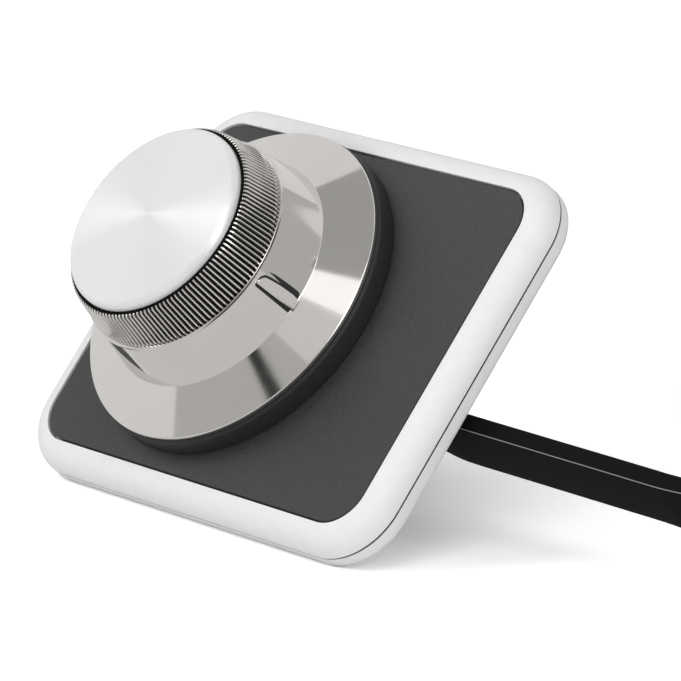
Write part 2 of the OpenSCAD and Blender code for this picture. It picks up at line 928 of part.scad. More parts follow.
module knob_shell() {
    lip_h = 0.35;
    lip_out = 0.15;
    hub_room = 2.8;
    hole_r = hub_d / 2 + hub_room;
    low_r = body_low_d / 2;
    top_r = body_top_d / 2;
    skirt_r = skirt_d / 2;
    cone = (skirt_r - low_r) / (skirt_h - skirt_edge);
    foot_r = skirt_r - cone * (shell_wall - skirt_edge);
    profile = [
        [hole_r, z_body], [top_r + lip_out, z_body], [top_r + lip_out, z_body - lip_h],
        [top_r, z_body - lip_h - lip_out], [low_r, z_junction], [skirt_r, z_skirt + skirt_edge],
        [skirt_r, z_skirt], [foot_r, z_skirt], [low_r - shell_wall / 2, z_junction - shell_wall],
        [low_r - shell_wall, z_junction], [top_r - shell_wall, z_body - flange_t], [hole_r, z_body - flange_t]
    ];
    color("#c9c4be")
        on_knob_axis()
            difference() {
                union() {
                    rotate_extrude()
                        polygon(profile);
                    index_bar(low_r, top_r, lip_h + lip_out);
                }
                at_knob_screws()
                    drill(small_screw_d + 2 * screw_play, z_body - flange_t - past, z_body + past);
            }
}

// The raised bar that shows the setting, along the body's slope
module index_bar(low_r, top_r, lip) {
    rise = body_h - lip;
    slope = atan2(low_r - top_r, rise);
    length = norm([rise, low_r - top_r]) - index_w / 2;
    foot = 0.6;
    sunk = shell_wall / 2;
    rotate(index_angle)
        translate([low_r, 0, z_junction])
            rotate([0, 90 - slope, 0])
                translate([0, 0, -sunk])
                    linear_extrude(sunk + index_h) {
                        translate([-length, -index_w / 2])
                            square([length + foot, index_w]);
                        translate([-length, 0])
                            circle(d = index_w);
                    }
}

module knob_screws() {
    color("silver")
        on_knob_axis()
            at_knob_screws()
                translate([0, 0, z_body - flange_t])
                    mirror([0, 0, 1])
                        pan_screw(small_screw_d, flange_t + knob_screw_grip, small_head_d, small_head_h);
}

module grip_ring() {
    low_r = grip_low_d / 2;
    root_r = low_r - flute_depth;
    step = 360 / flutes;
    tooth = [[0, low_r], [0.5, low_r], [0.62, root_r], [0.88, root_r]];
    outline = [
        for (i = [0:flutes - 1], q = tooth)
            let (a = (i + q[0]) * step)
                q[1] * [cos(a), sin(a)]
    ];
    color("#b8b0a6")
        on_knob_axis()
            difference() {
                translate([0, 0, z_body])
                    linear_extrude(grip_h, scale = grip_top_d / grip_low_d)
                        polygon(outline);
                drill(cap_d + 2 * cap_gap, z_body - past, z_grip + past);
            }
}

module cap_disc() {
    r = cap_d / 2;
    steps = 6;
    rings = 8;
    flat_r = r - cap_edge_r;
    round = quarter(flat_r, z_rim - cap_edge_r, cap_edge_r, steps);
    crown = [for (i = [1:rings]) let (s = 1 - i / rings) [s * flat_r, z_rim + cap_dome * (1 - s * s)]];
    color("#dcdcdc")
        on_knob_axis()
            rotate_extrude()
                polygon(concat([[0, z_cap], [r, z_cap]], round, crown));
}

// Cord, coil, tie and plug

module cable_run() {
    color("#161616")
        swept(route_rings(run_route, [1, 0, 0], [0, 1, 0]));
}

module cable_tail() {
    color("#161616")
        swept(route_rings(tail_route, [1, 0, 0], [1, 0, 0]));
}

coil_steps = coil_turns * loop_rings;
// Turns between step i and the middle of the winding, where the spiral reverses
function from_middle(i) = abs(i - coil_steps / 2) / loop_rings;
function coil_r(i) =
    let (m = from_middle(i), inner = coil_out - coil_pitch * coil_turns / 2)
        inner + coil_pitch * m - (m < dip_turns ? coil_dip * pow(cos(90 * m / dip_turns), 2) : 0);
// From the lower layer to the upper one, in the half turn round the middle
function coil_z(i) =
    let (s = max(0, min(1, 0.5 + 2 * (i - coil_steps / 2) / loop_rings)))
        coil_low + (coil_high - coil_low) * s * s * (3 - 2 * s);
function coil_angle(i) = 360 * i / loop_rings;
function coil_point(i) = [
    coil_x + coil_r(i) * cos(coil_angle(i)), coil_y + coil_r(i) * sin(coil_angle(i)), coil_z(i)
];
function coil_ring(i) =
    let (a = coil_angle(i))
        ring_at(coil_point(i), [-sin(a), cos(a), 0], [0, 0, 1], section_6);
// Gap between two turns that pass each other at the same angle
function turn_clear(i, j) =
    max(abs(coil_r(i) - coil_r(j)) - cable_t, abs(coil_z(i) - coil_z(j)) - cable_w);
least_gap = min([
    for (i = [loop_rings:coil_steps], k = [1:floor(i / loop_rings)])
        turn_clear(i, i - k * loop_rings)
]);
function path_length(points) = len(points) < 2 ? 0 : [
    for (i = 1, sum = norm(points[1] - points[0]); i < len(points);
        i = i + 1, sum = sum + (i < len(points) ? norm(points[i] - points[i - 1]) : 0)) sum
][len(points) - 2];
coil_length = path_length([for (i = [0:coil_steps]) coil_point(i)]) + 2 * straight;
run_length = path_length([for (p = run_route) place(p)]);
tail_length = path_length([for (p = tail_route) place(p)]);
echo(least_gap_in_coil = least_gap);
echo(cord_length = coil_length + run_length + tail_length, in_coil = coil_length);

module cable_coil() {
    entry = [for (q = coil_ring(0)) q - [0, straight, 0]];
    leave = [for (q = coil_ring(coil_steps)) q + [straight, 0, 0]];
    color("#161616")
        swept(concat([entry], [for (i = [0:coil_steps]) coil_ring(i)], [leave]));
}

module coil_tie() {
    inner = coil_out - coil_pitch * coil_turns / 2 - coil_dip - cable_t / 2 - tie_clear;
    outer = coil_out + cable_t / 2 + tie_clear;
    high = coil_high + cable_w / 2 + tie_clear;
    corner = 1.5;
    w = outer - inner;
    h = high - tie_t;
    color("whitesmoke")
        translate([coil_x, coil_y, 0])
            rotate(tie_angle)
                translate([(inner + outer) / 2, tie_w / 2, tie_t + h / 2])
                    rotate([90, 0, 0])
                        linear_extrude(tie_w)
                            difference() {
                                rounded_rect(w + 2 * tie_t, h + 2 * tie_t, corner + tie_t);
                                rounded_rect(w, h, corner);
                            }
}

contact_pitch = 1.02;
contact_t = 0.35;
contact_l = 3.4;
contact_h = 1.6;
contact_sink = 0.3;
contact_in = 1;

module at_contacts() {
    back = plug_at[0] + plug_l - contact_in - contact_l;
    for (i = [0:plug_ways - 1])
        translate([back, plug_at[1] + (i - (plug_ways - 1) / 2) * contact_pitch, 0])
            children();
}

module plug_body() {
    tab_w = 3.2;
    tab_t = 0.8;
    tab_rise = 3;
    tab_front = 0.2;
    tab_back = 1.6;
    tab_end = 1;
    tab_side = plug_at[1] - tab_w / 2;
    color("lightgray", 0.7)
        difference() {
            union() {
                translate([plug_at[0], plug_at[1] - plug_w / 2, 0])
                    cube([plug_l, plug_w, plug_h]);
                hull() {
                    translate([plug_at[0] + plug_l - tab_front - tab_end, tab_side, plug_h - tab_t])
                        cube([tab_end, tab_w, tab_t]);
                    translate([plug_at[0] + tab_back - tab_end, tab_side, plug_h + tab_rise - tab_t])
                        cube([tab_end, tab_w, tab_t]);
                }
            }
            at_contacts()
                translate([-fit, -contact_t / 2 - fit, -past])
                    cube([contact_l + 2 * fit, contact_t + 2 * fit, contact_sink + contact_h + fit + past]);
        }
}

module plug_contacts() {
    color("gold")
        at_contacts()
            translate([0, -contact_t / 2, contact_sink])
                cube([contact_l, contact_t, contact_h]);
}

front_frame();
panel_tape();
front_panel();
base_ring();
rear_cover();
rear_housing();
cover_screws();
housing_screws();
strain_relief();
inner_lead();
board_connector();
circuit_board();
board_standoffs();
board_screws();
board_chips();
pot_bushing();
pot_case();
pot_track();
pot_terminals();
pot_washer();
pot_nut();
pot_shaft();
pot_wiper();
shaft_clip();
knob_core();
hub_clip();
knob_shell();
knob_screws();
grip_ring();
cap_disc();
cable_run();
cable_coil();
coil_tie();
cable_tail();
plug_body();
plug_contacts();
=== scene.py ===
"""Remote bass knob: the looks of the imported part, laid out as an add-on and run as a script.

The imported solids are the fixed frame. Each operator models one piece, or a group of like pieces,
in the knob frame, whose origin is where the knob's axis meets the panel's face and whose z runs
out along that axis, and then sets the piece in its place on the table.
"""

import functools
import json
import math

import bmesh
import bpy
from mathutils import Matrix, Quaternion, Vector


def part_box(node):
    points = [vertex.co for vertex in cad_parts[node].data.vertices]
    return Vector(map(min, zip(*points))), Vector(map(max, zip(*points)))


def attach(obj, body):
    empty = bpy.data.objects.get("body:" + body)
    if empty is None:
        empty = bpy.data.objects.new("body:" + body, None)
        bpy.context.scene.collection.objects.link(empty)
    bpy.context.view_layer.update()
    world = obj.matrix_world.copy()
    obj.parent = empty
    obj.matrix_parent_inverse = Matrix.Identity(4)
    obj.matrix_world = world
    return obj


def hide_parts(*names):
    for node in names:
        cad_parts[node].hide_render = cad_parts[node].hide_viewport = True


bl_info = {
    "name": "Remote Bass Knob",
    "version": (1, 0, 0),
    "blender": (4, 5, 0),
    "location": "View3D > Sidebar > Bass Knob",
    "description": "Models a remote bass knob around its packed solids and lights it",
    "category": "Object",
}

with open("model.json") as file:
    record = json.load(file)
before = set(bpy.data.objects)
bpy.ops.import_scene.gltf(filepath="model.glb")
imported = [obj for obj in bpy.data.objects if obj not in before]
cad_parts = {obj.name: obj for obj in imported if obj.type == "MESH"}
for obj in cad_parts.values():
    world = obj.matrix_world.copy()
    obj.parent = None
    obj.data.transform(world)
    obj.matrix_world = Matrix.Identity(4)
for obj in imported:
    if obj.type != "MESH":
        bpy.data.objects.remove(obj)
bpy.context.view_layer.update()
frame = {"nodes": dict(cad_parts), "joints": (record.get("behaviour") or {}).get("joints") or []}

MM = 0.001
# Points nearer than this are one point
WELD = 2e-6
# A face lies level when its normal is upright by this much
LEVEL = 0.999
CORNER_STEPS = 20
EDGE_STEPS = 10
ROUND_STEPS = 256
HOLE_STEPS = 48
ORIGIN = (0, 0, 0)
UP = (0, 0, 1)
WHOLE_TURN = 2 * math.pi

JOINT = frame["joints"][0]
AXIS = Vector(JOINT["axis"])
TILT = math.atan2(-AXIS.y, AXIS.z)
KNOB_PLACE = Vector(JOINT["pos_m"])
ON_KNOB = Matrix.Translation(KNOB_PLACE) @ Matrix.Rotation(TILT, 4, "X")
UPSIDE_DOWN = Matrix.Rotation(math.pi, 4, "X")


def box_in(place, node):
    """A solid's lowest and highest corners in the frame that a place gives."""
    back = place.inverted()
    corners = [back @ v.co for v in frame["nodes"][node].data.vertices]
    return Vector(map(min, zip(*corners))), Vector(map(max, zip(*corners)))


def knob_box(node):
    """A solid's lowest and highest corners in the knob frame."""
    return box_in(ON_KNOB, node)


PLATE_LOW, PLATE_HIGH = knob_box("front_frame")
PLATE_SIZE = PLATE_HIGH - PLATE_LOW
PLATE_MIDDLE = (PLATE_LOW + PLATE_HIGH) / 2
PANEL_LOW, PANEL_HIGH = knob_box("front_panel")
COVER_LOW, COVER_HIGH = knob_box("rear_cover")
HOUSING_LOW, HOUSING_HIGH = knob_box("rear_housing")
RING_LOW, RING_HIGH = knob_box("base_ring")
SHELL_LOW, SHELL_HIGH = knob_box("knob_shell")
GRIP_LOW, GRIP_HIGH = knob_box("grip_ring")
CAP_LOW, CAP_HIGH = knob_box("cap_disc")
BOOT_LOW, BOOT_HIGH = knob_box("strain_relief")

# What the camera looks at
LOOK_AT = Vector((0.005198, 0.003354, 0.020658))


def linear(code):
    """An sRGB hex colour as linear red, green and blue."""
    parts = [int(code[i : i + 2], 16) / 255 for i in (1, 3, 5)]
    return [c / 12.92 if c <= 0.04045 else ((c + 0.055) / 1.055) ** 2.4 for c in parts]


def number(name, description, default, **settings):
    """A number that a user can change."""
    return bpy.props.FloatProperty(name=name, description=description, default=default, **settings)


def size(name, description, millimetres):
    """A length that a user can change."""
    return number(name, description, millimetres * MM, unit="LENGTH", precision=5)


def angle(name, description, degrees):
    """An angle that a user can change."""
    return number(name, description, math.radians(degrees), subtype="ANGLE")


def paint(name, description, code):
    """A colour that a user can change."""
    return bpy.props.FloatVectorProperty(
        name=name, description=description, default=linear(code), subtype="COLOR", min=0, max=1
    )


class PlateShape(bpy.types.PropertyGroup):
    """Sizes of plate, cover and housing that the solids' boxes don't give."""

    corner: size("Plate corner", "Radius of the plate's corners", 8.15)
    window_corner: size("Window corner", "Radius of the window's corners", 5.0)
    front_edge: size("Front edge", "Rounding of the frame's front edge", 3.0)
    lip_edge: size("Lip edge", "Rounding of the window's inner edge", 0.05)
    panel_gap: size("Panel gap", "Gap all round the inset panel", 0.15)
    panel_trim: size("Panel trim", "How much more gap the panel leaves, so that it shows", 0.15)
    panel_edge: size("Panel edge", "Rounding of the panel's edge", 0.03)
    seam_height: size("Seam height", "Height of the seam between frame and cover", 0.28)
    seam_depth: size("Seam depth", "Depth of the seam between frame and cover", 1.6)
    # The black strip in the seam is painted shade of the gap between frame and cover
    shadow_strip_recess: size("Shadow strip recess", "How far the black seal lies back in that seam", 0.1)
    back_edge: size("Back edge", "Rounding of the cover's back edge", 1.1)
    housing_width: size("Housing width", "Width of the housing between its ears", 38.0)
    housing_corner: size("Housing corner", "Radius of the housing's corners", 3.0)
    housing_edge: size("Housing edge", "Rounding of the housing's back edge", 1.5)
    wall: size("Housing wall", "Thickness of the housing's side walls", 1.8)
    floor: size("Housing floor", "Thickness of the housing's back wall", 2.0)
    bushing: size("Bushing hole", "Radius of the hole for the pot's bushing", 3.85)
    ear_radius: size("Ear radius", "Radius of the housing's screw ears", 2.7)
    ear_thickness: size("Ear thickness", "Thickness of the housing's screw ears", 2.0)
    mould_edge: size("Mould edge", "Rounding of the housing's small edges", 0.25)
    mount_spacing: size("Mount spacing", "Distance between the two mounting holes", 24.0)
    mount_radius: size("Mount radius", "Radius of the mounting holes", 1.25)
    mount_depth: size("Mount depth", "Depth of the mounting holes", 3.2)
    screw_radius: size("Screw radius", "Radius of the rear screws' shanks", 1.25)
    head_radius: size("Head radius", "Radius of the rear screws' heads", 2.2)
    head_height: size("Head height", "Height of the pan heads", 1.5)


class KnobShape(bpy.types.PropertyGroup):
    """Sizes of the knob that the solids' boxes don't give."""

    ring_width: size("Ring width", "Radial width of the base ring", 3.5)
    ring_groove: size("Ring groove", "Shadow groove round the foot of the base ring", 0.3)
    ring_edge: size("Ring edge", "Rounding of the base ring's upper edge", 0.6)
    rim_drop: size("Rim drop", "How far the skirt's rim reaches down towards the ring", 0.22)
    skirt_height: size("Skirt height", "Height of the skirt", 3.0)
    skirt_edge: size("Skirt edge", "Height of the skirt's upright edge", 0.35)
    body_foot: size("Body foot", "Radius of the body at the skirt", 16.0)
    body_top: size("Body top", "Radius of the body under the grip", 14.7)
    wall: size("Wall", "Wall of the knob shell", 1.7)
    lip_height: size("Lip height", "Height of the lip under the grip", 0.35)
    lip_reach: size("Lip reach", "How far the lip stands out", 0.15)
    hole: size("Hole", "Radius of the hole in the shell's top", 8.3)
    index_bed: size("Index bed", "How far the black bed of the index stands out", 0.03)
    index_height: size("Index height", "Height of the index pad above the body", 0.3)
    index_turn: angle("Index direction", "Direction of the index round the knob's axis", -5)
    grip_top: size("Grip top", "Radius of the grip at its top", 13.45)
    grip_bore: size("Grip bore", "Radius of the hole that the cap sits in", 12.87)
    flutes: bpy.props.IntProperty(name="Flutes", description="Flutes round the grip", default=144, min=12)
    flute_depth: size("Flute depth", "Depth of the flutes", 0.25)
    # The black ring round the cap is partly the black core seen in the gap and partly painted shade of that
    # gap
    shadow_ring_rise: size("Shadow ring rise", "How far the cap's gasket stands above the grip", 0.05)
    shadow_ring_lip: size("Shadow ring lip", "Radius of the black lip that lies on the grip round the cap", 13.14)
    cap_crown: size("Cap crown", "Crown of the cap", 0.5)
    cap_edge: size("Cap edge", "Rounding of the cap's rim", 0.8)


class CableShape(bpy.types.PropertyGroup):
    """Sizes of the cable and of the coil that its rest is wound into."""

    width: size("Width", "Width of the flat cable", 7.0)
    thickness: size("Thickness", "Thickness of the flat cable", 2.5)
    edge: size("Edge", "Rounding of the cable's corners", 0.4)
    coil_radius: size("Coil radius", "Radius of the coil's outermost turn", 51.0)
    turn_pitch: size("Turn pitch", "Distance between the coil's turns", 3.0)
    turns: number("Turns", "Turns of the coil", 20.75, min=1)
    band_width: size("Band width", "Width of the coil's tie", 4.0)
    band_thickness: size("Band thickness", "Thickness of the coil's tie", 0.6)


class Finishes(bpy.types.PropertyGroup):
    """Colours of the visible finishes."""

    silver: paint("Silver", "Satin silver lacquer of frame and cover", "#EDEDEE")
    charcoal: paint("Charcoal", "Powder coat of the inset panel", "#373739")
    ring: paint("Ring", "Black of the base ring", "#1D1D1E")
    chrome: paint("Chrome", "Plate of the knob shell and its grip", "#DEDBD7")
    cap: paint("Cap", "Turned aluminium of the cap", "#F1F1F0")
    black: paint("Black", "Moulded black of the housing", "#161617")
    rubber: paint("Rubber", "Soft black of the strain relief", "#121212")
    sheath: paint("Sheath", "Black sheath of the cable", "#181818")


class StudioSetup(bpy.types.PropertyGroup):
    """The photograph's viewpoint and the studio's light."""

    azimuth: angle("Azimuth", "The camera's direction, to the right of straight ahead", 50.127)
    elevation: angle("Elevation", "The camera's height", 13.702)
    roll: angle("Roll", "The camera's turn about its view", -0.098)
    distance: size("Distance", "From the camera to the point it looks at", 719.46)
    lens: number("Lens", "Focal length in millimetres, on a 36 mm sensor", 312.03, min=1)
    left_power: number("Left", "Power of the softbox on the left", 1.9, unit="POWER")
    front_power: number("Front", "Power of the low softbox in front", 1.2, unit="POWER")
    right_power: number("Right", "Power of the softbox above the camera", 1.0, unit="POWER")
    side_power: number("Side", "Power of the softbox on the right", 1.5, unit="POWER")
    room: number("Room", "Strength of the light from all round", 0.6, min=0)
    floor_print: number("Floor print", "How bright the floor's paper prints where it is seen", 1.8, min=0)


# Modelling by hand


def clear_selection():
    """Back to object mode with nothing selected."""
    if bpy.context.object and bpy.context.object.mode != "OBJECT":
        bpy.ops.object.mode_set(mode="OBJECT")
    bpy.ops.object.select_all(action="DESELECT")


def focus(piece):
    """Selects one piece alone and makes it the active one."""
    clear_selection()
    piece.select_set(True)
    bpy.context.view_layer.objects.active = piece


def select_all():
    """Selects the whole open mesh."""
    bpy.ops.mesh.select_all(action="SELECT")


def begin(name, primitive, **settings):
    """Adds a primitive, names it and opens it for editing with all of it selected."""
    clear_selection()
    primitive(**settings)
    piece = bpy.context.object
    piece.name = piece.data.name = name
    bpy.ops.object.mode_set(mode="EDIT")
    bpy.ops.mesh.select_mode(type="VERT")
    select_all()
    return piece


def select(kind, test):
    """Selects the faces, edges or vertices of the open mesh that pass a test."""
    bpy.ops.mesh.select_mode(type=kind)
    bpy.ops.mesh.select_all(action="DESELECT")
    mesh = bmesh.from_edit_mesh(bpy.context.object.data)
    for part in {"FACE": mesh.faces, "EDGE": mesh.edges, "VERT": mesh.verts}[kind]:
        part.select_set(bool(test(part)))
    mesh.select_flush_mode()
    bmesh.update_edit_mesh(bpy.context.object.data)


def extrude(x, y, z):
    """Extrudes what is selected by a step."""
    bpy.ops.mesh.extrude_region_move(TRANSFORM_OT_translate={"value": (x, y, z)})


def heal():
    """Merges doubles and turns every face outwards."""
    select_all()
    bpy.ops.mesh.remove_doubles(threshold=WELD)
    bpy.ops.mesh.normals_make_consistent(inside=False)


def settle(piece, place, smooth=30):
    """Closes a piece's mesh, sets it in its place and shades it smooth up to an angle in degrees."""
    focus(piece)
    bpy.ops.object.mode_set(mode="EDIT")
    heal()
    bpy.ops.object.mode_set(mode="OBJECT")
    piece.matrix_world = place
    bpy.ops.object.transform_apply(location=True, rotation=True, scale=True)
    bpy.ops.object.shade_smooth_by_angle(angle=math.radians(smooth))


def apply_modifier(piece, kind, **settings):
    """Adds a modifier with its settings and applies it."""
    focus(piece)
    bpy.ops.object.modifier_add(type=kind)
    modifier = piece.modifiers[-1]
    for key, value in settings.items():
        setattr(modifier, key, value)
    bpy.ops.object.modifier_apply(modifier=modifier.name)


def carve(piece, tool, operation="DIFFERENCE"):
    """Cuts a tool's shape out of a piece, or joins it on, and throws the tool away."""
    clear_selection()
    before = len(piece.data.vertices)
    apply_modifier(piece, "BOOLEAN", object=tool, operation=operation, solver="MANIFOLD")
    if len(piece.data.vertices) in (0, before):
        raise RuntimeError(f"{tool.name} left no mark on {piece.name}")
    bpy.data.objects.remove(tool, do_unlink=True)


def rounded_plate(name, middle, sides, corner, low, high, edge=0):
    """A plate with round corners and, where it has one, a rounded upper edge."""
    piece = begin(name, bpy.ops.mesh.primitive_plane_add, size=1)
    bpy.ops.transform.resize(value=(sides[0], sides[1], 1))
    bpy.ops.transform.translate(value=(middle[0], middle[1], low))
    bpy.ops.mesh.bevel(offset=corner, segments=CORNER_STEPS, affect="VERTICES")
    select_all()
    extrude(0, 0, high - low)
    if edge:
        bpy.ops.mesh.bevel(offset=edge, segments=EDGE_STEPS, affect="EDGES")
    heal()
    return piece


def block(name, sides, middle):
    """A box round its middle."""
    piece = begin(name, bpy.ops.mesh.primitive_cube_add, size=1)
    bpy.ops.transform.resize(value=sides)
    bpy.ops.transform.translate(value=middle)
    return piece


def drawn(name, points):
    """Draws a line from point to point and leaves all of it selected."""
    piece = begin(name, bpy.ops.mesh.primitive_plane_add, size=MM)
    bpy.ops.mesh.merge(type="CENTER")
    bpy.ops.transform.translate(value=points[0])
    for here, ahead in zip(points, points[1:]):
        extrude(*(Vector(ahead) - Vector(here)))
    select_all()
    return piece


def filleted(corners, steps=6):
    """The closed outline through (radius, height, rounding) corners."""
    outline = []
    for i, (r, z, rounding) in enumerate(corners):
        here = Vector((r, z))
        if not rounding:
            outline.append(here)
            continue
        back = (Vector(corners[i - 1][:2]) - here).normalized()
        ahead = (Vector(corners[(i + 1) % len(corners)][:2]) - here).normalized()
        half = back.angle(ahead) / 2
        centre = here + (back + ahead).normalized() * rounding / math.sin(half)
        reach = rounding / math.tan(half)
        spokes = [here + side * reach - centre for side in (back, ahead)]
        start, end = (math.atan2(s.y, s.x) for s in spokes)
        sweep = (end - start + math.pi) % WHOLE_TURN - math.pi
        for k in range(steps + 1):
            a = start + sweep * k / steps
            outline.append(centre + rounding * Vector((math.cos(a), math.sin(a))))
    return outline


def turned(name, outline, steps=ROUND_STEPS):
    """Spins an outline of (radius, height) points round the z axis."""
    piece = drawn(name, [(r, 0, z) for r, z in outline])
    bpy.ops.mesh.spin(steps=steps, angle=WHOLE_TURN, center=ORIGIN, axis=UP)
    heal()
    return piece


def turned_ring(name, corners):
    """Spins the closed outline through (radius, height, rounding) corners round the z axis."""
    outline = filleted(corners)
    return turned(name, outline + outline[:1])


def drilled(piece, spots, low, high, foot, head=None):
    """Cuts a hole at each spot, straight, or conical by the radii at its foot and head."""
    sizes = {"vertices": HOLE_STEPS, "radius1": foot, "radius2": head or foot, "depth": high - low}
    for x, y in spots:
        tool = begin("drill", bpy.ops.mesh.primitive_cone_add, **sizes)
        bpy.ops.transform.translate(value=(x, y, (low + high) / 2))
        carve(piece, tool)


def screw_spots(node, head_radius):
    """Where the four screws of a node stand in the knob frame."""
    low, high = knob_box(node)
    across, up = ((low[i] + head_radius, high[i] - head_radius) for i in (0, 1))
    return [(x, y) for x in across for y in up]


def dress(piece, body, slot, finish, *nodes):
    """Gives a piece its finish and its body, and hides the solids it stands for."""
    piece.data.materials.clear()
    piece.data.materials.append(finish)
    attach(piece, body)
    if nodes:
        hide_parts(*nodes)


def complete(piece, place, body, slot, finish, *nodes, smooth=30):
    """Settles a piece in its place and dresses it."""
    settle(piece, place, smooth)
    dress(piece, body, slot, finish, *nodes)


# Finishes


def colours():
    """The colours that the user has set."""
    return bpy.context.scene.bass_knob_finishes


def blank(name):
    """A new material with an empty tree."""
    finish = bpy.data.materials.new(name)
    finish.use_nodes = True
    finish.node_tree.nodes.clear()
    return finish, finish.node_tree


def add(tree, kind, inputs=None, **settings):
    """Adds a shader node with its settings, and sets its inputs or links them to what they are given:
    a socket, or a node, whose first output is meant."""
    made = tree.nodes.new("ShaderNode" + kind)
    for key, value in settings.items():
        setattr(made, key, value)
    for key, value in (inputs or {}).items():
        if isinstance(value, bpy.types.Node):
            value = value.outputs[0]
        if isinstance(value, bpy.types.NodeSocket):
            tree.links.new(value, made.inputs[key])
        else:
            made.inputs[key].default_value = value
    return made


def material(name):
    """Turns a function that builds a look in an empty tree into one that gives the finished material."""

    def wrap(build):
        @functools.cache
        def made():
            finish, tree = blank(name)
            skin = add(tree, "BsdfPrincipled", build(tree))
            add(tree, "OutputMaterial", {"Surface": skin})
            return finish

        return made

    return wrap


def on_knob_axis(tree):
    """Object coordinates turned into the knob frame."""
    place = add(tree, "TexCoord").outputs["Object"]
    turn = {"Vector": place, "Location": KNOB_PLACE, "Rotation": (TILT, 0, 0)}
    return add(tree, "Mapping", turn, vector_type="TEXTURE")


def grained(tree, colour, metallic, roughness, spread, grain, height, **more):
    """Even fine grain: bumps of a height, a grain apart in millimetres, and gloss that wavers by spread."""
    grain, height = grain * MM, height * MM
    place = add(tree, "TexCoord").outputs["Object"]
    cloud = add(tree, "TexNoise", {"Vector": place, "Scale": 1 / (12 * grain), "Detail": 3})
    fine = add(tree, "TexNoise", {"Vector": place, "Scale": 1 / grain, "Detail": 2})
    gloss = {"Value": cloud, "To Min": roughness - spread, "To Max": roughness + spread}
    tone = add(tree, "MapRange", {"Value": cloud, "To Min": 0.96, "To Max": 1.04})
    return {
        "Base Color": add(tree, "VectorMath", {0: tuple(colour), "Scale": tone}, operation="SCALE"),
        "Metallic": metallic,
        "Roughness": add(tree, "MapRange", gloss),
        "Normal": add(tree, "Bump", {"Height": fine, "Distance": height, "Strength": 1}),
        **more,
    }


def speckled(tree, colour, roughness, grain, height):
    """A matt coat whose fine grains, in millimetres, stand out lighter than the hollows between them."""
    grain, height = grain * MM, height * MM
    place = add(tree, "TexCoord").outputs["Object"]
    fine = add(tree, "TexNoise", {"Vector": place, "Scale": 1 / grain, "Detail": 1.5})
    contrast = {"Value": fine, "From Min": 0.3, "From Max": 0.7, "To Min": 0.78, "To Max": 1.22}
    tone = add(tree, "MapRange", contrast)
    return {
        "Base Color": add(tree, "VectorMath", {0: tuple(colour), "Scale": tone}, operation="SCALE"),
        "Roughness": roughness,
        "Normal": add(tree, "Bump", {"Height": fine, "Distance": height, "Strength": 1}),
    }


@material("Satin silver lacquer")
def silver_lacquer(tree):
    """Die-cast metal under satin silver lacquer: nearly white, with a broad soft highlight."""
    return grained(tree, colours().silver, 0, 0.45, 0.03, 0.12, 0.002)


@material("Charcoal powder coat")
def charcoal_coat(tree):
    """Powder coat on sheet metal: charcoal, with a fine even grain that breaks up its gloss."""
    return speckled(tree, colours().charcoal, 0.5, 0.26, 0.02)


@material("Textured charcoal ABS")
def ring_coat(tree):
    """Spark-textured moulding: a darker charcoal than the panel, grained all over."""
    return speckled(tree, colours().ring, 0.6, 0.24, 0.02)


@material("Polished chrome plate")
def chrome_plate(tree):
    """Polished chrome plate: a clear mirror with a faint warm tone and hardly any haze."""
    return grained(tree, colours().chrome, 1, 0.07, 0.02, 0.4, 0.0004)


@material("Chrome plate on flutes")
def fluted_plate(tree):
    """Chrome plate over cut flutes: bright crests, and painted shade in the grooves, near black."""
    pitches = bpy.context.scene.bass_knob_knob.flutes / WHOLE_TURN
    # Middle and half width of the painted groove shade, as shares of a flute's pitch
    middle, half, blur = 0.65, 0.25, 0.04
    place = add(tree, "SeparateXYZ", {"Vector": on_knob_axis(tree)}).outputs
    around = add(tree, "Math", {0: place["Y"], 1: place["X"]}, operation="ARCTAN2")
    flutes = add(tree, "Math", {0: around, 1: pitches}, operation="MULTIPLY")
    share = add(tree, "Math", {0: flutes}, operation="FRACT")
    off = add(tree, "Math", {0: share, 1: middle}, operation="SUBTRACT")
    apart = add(tree, "Math", {0: off}, operation="ABSOLUTE")
    # Painted shade: 1 in the groove, 0 on the crest
    edge = {"Value": apart, "From Min": half, "From Max": half + blur, "To Min": 1, "To Max": 0}
    groove = add(tree, "MapRange", edge)
    tones = {"Fac": groove, "Color1": (*colours().chrome, 1), "Color2": (*linear("#0C0A08"), 1)}
    return {
        "Base Color": add(tree, "MixRGB", tones),
        "Metallic": add(tree, "MapRange", {"Value": groove, "To Min": 1, "To Max": 0}),
        "Roughness": add(tree, "MapRange", {"Value": groove, "To Min": 0.16, "To Max": 0.6}),
        "Specular IOR Level": 0.1,
    }


@material("Face-turned aluminium")
def turned_aluminium(tree):
    """Face-turned aluminium: pale, with rings of fine tool marks that spread light across them."""
    # Tool marks 0.16 mm apart: finer ones are lost in the render
    mark = 0.16 * MM
    wave = {
        "Vector": on_knob_axis(tree),
        "Scale": WHOLE_TURN / (20 * mark),
        "Distortion": 0.6,
        "Detail": 2,
    }
    rings = add(tree, "TexWave", wave, wave_type="RINGS", rings_direction="Z").outputs["Fac"]
    return {
        "Base Color": (*colours().cap, 1),
        "Metallic": 0.45,
        "Roughness": add(tree, "MapRange", {"Value": rings, "To Min": 0.34, "To Max": 0.42}),
        "Anisotropic": 0.85,
        "Anisotropic Rotation": 0.25,
        "Tangent": add(tree, "Tangent", direction_type="UV_MAP", uv_map="Turning"),
        "Normal": add(tree, "Bump", {"Height": rings, "Distance": 0.008 * MM, "Strength": 1}),
    }


@material("Black index lines")
def index_line_black(tree):
    """Black of the index's bed, deep and half matt: the thin line along the pad's edge is painted shade of a
    gap, and the wider lines beside the pad are drawn as they show.
    """
    return grained(tree, linear("#0B0B0B"), 0, 0.5, 0.05, 0.2, 0.002)


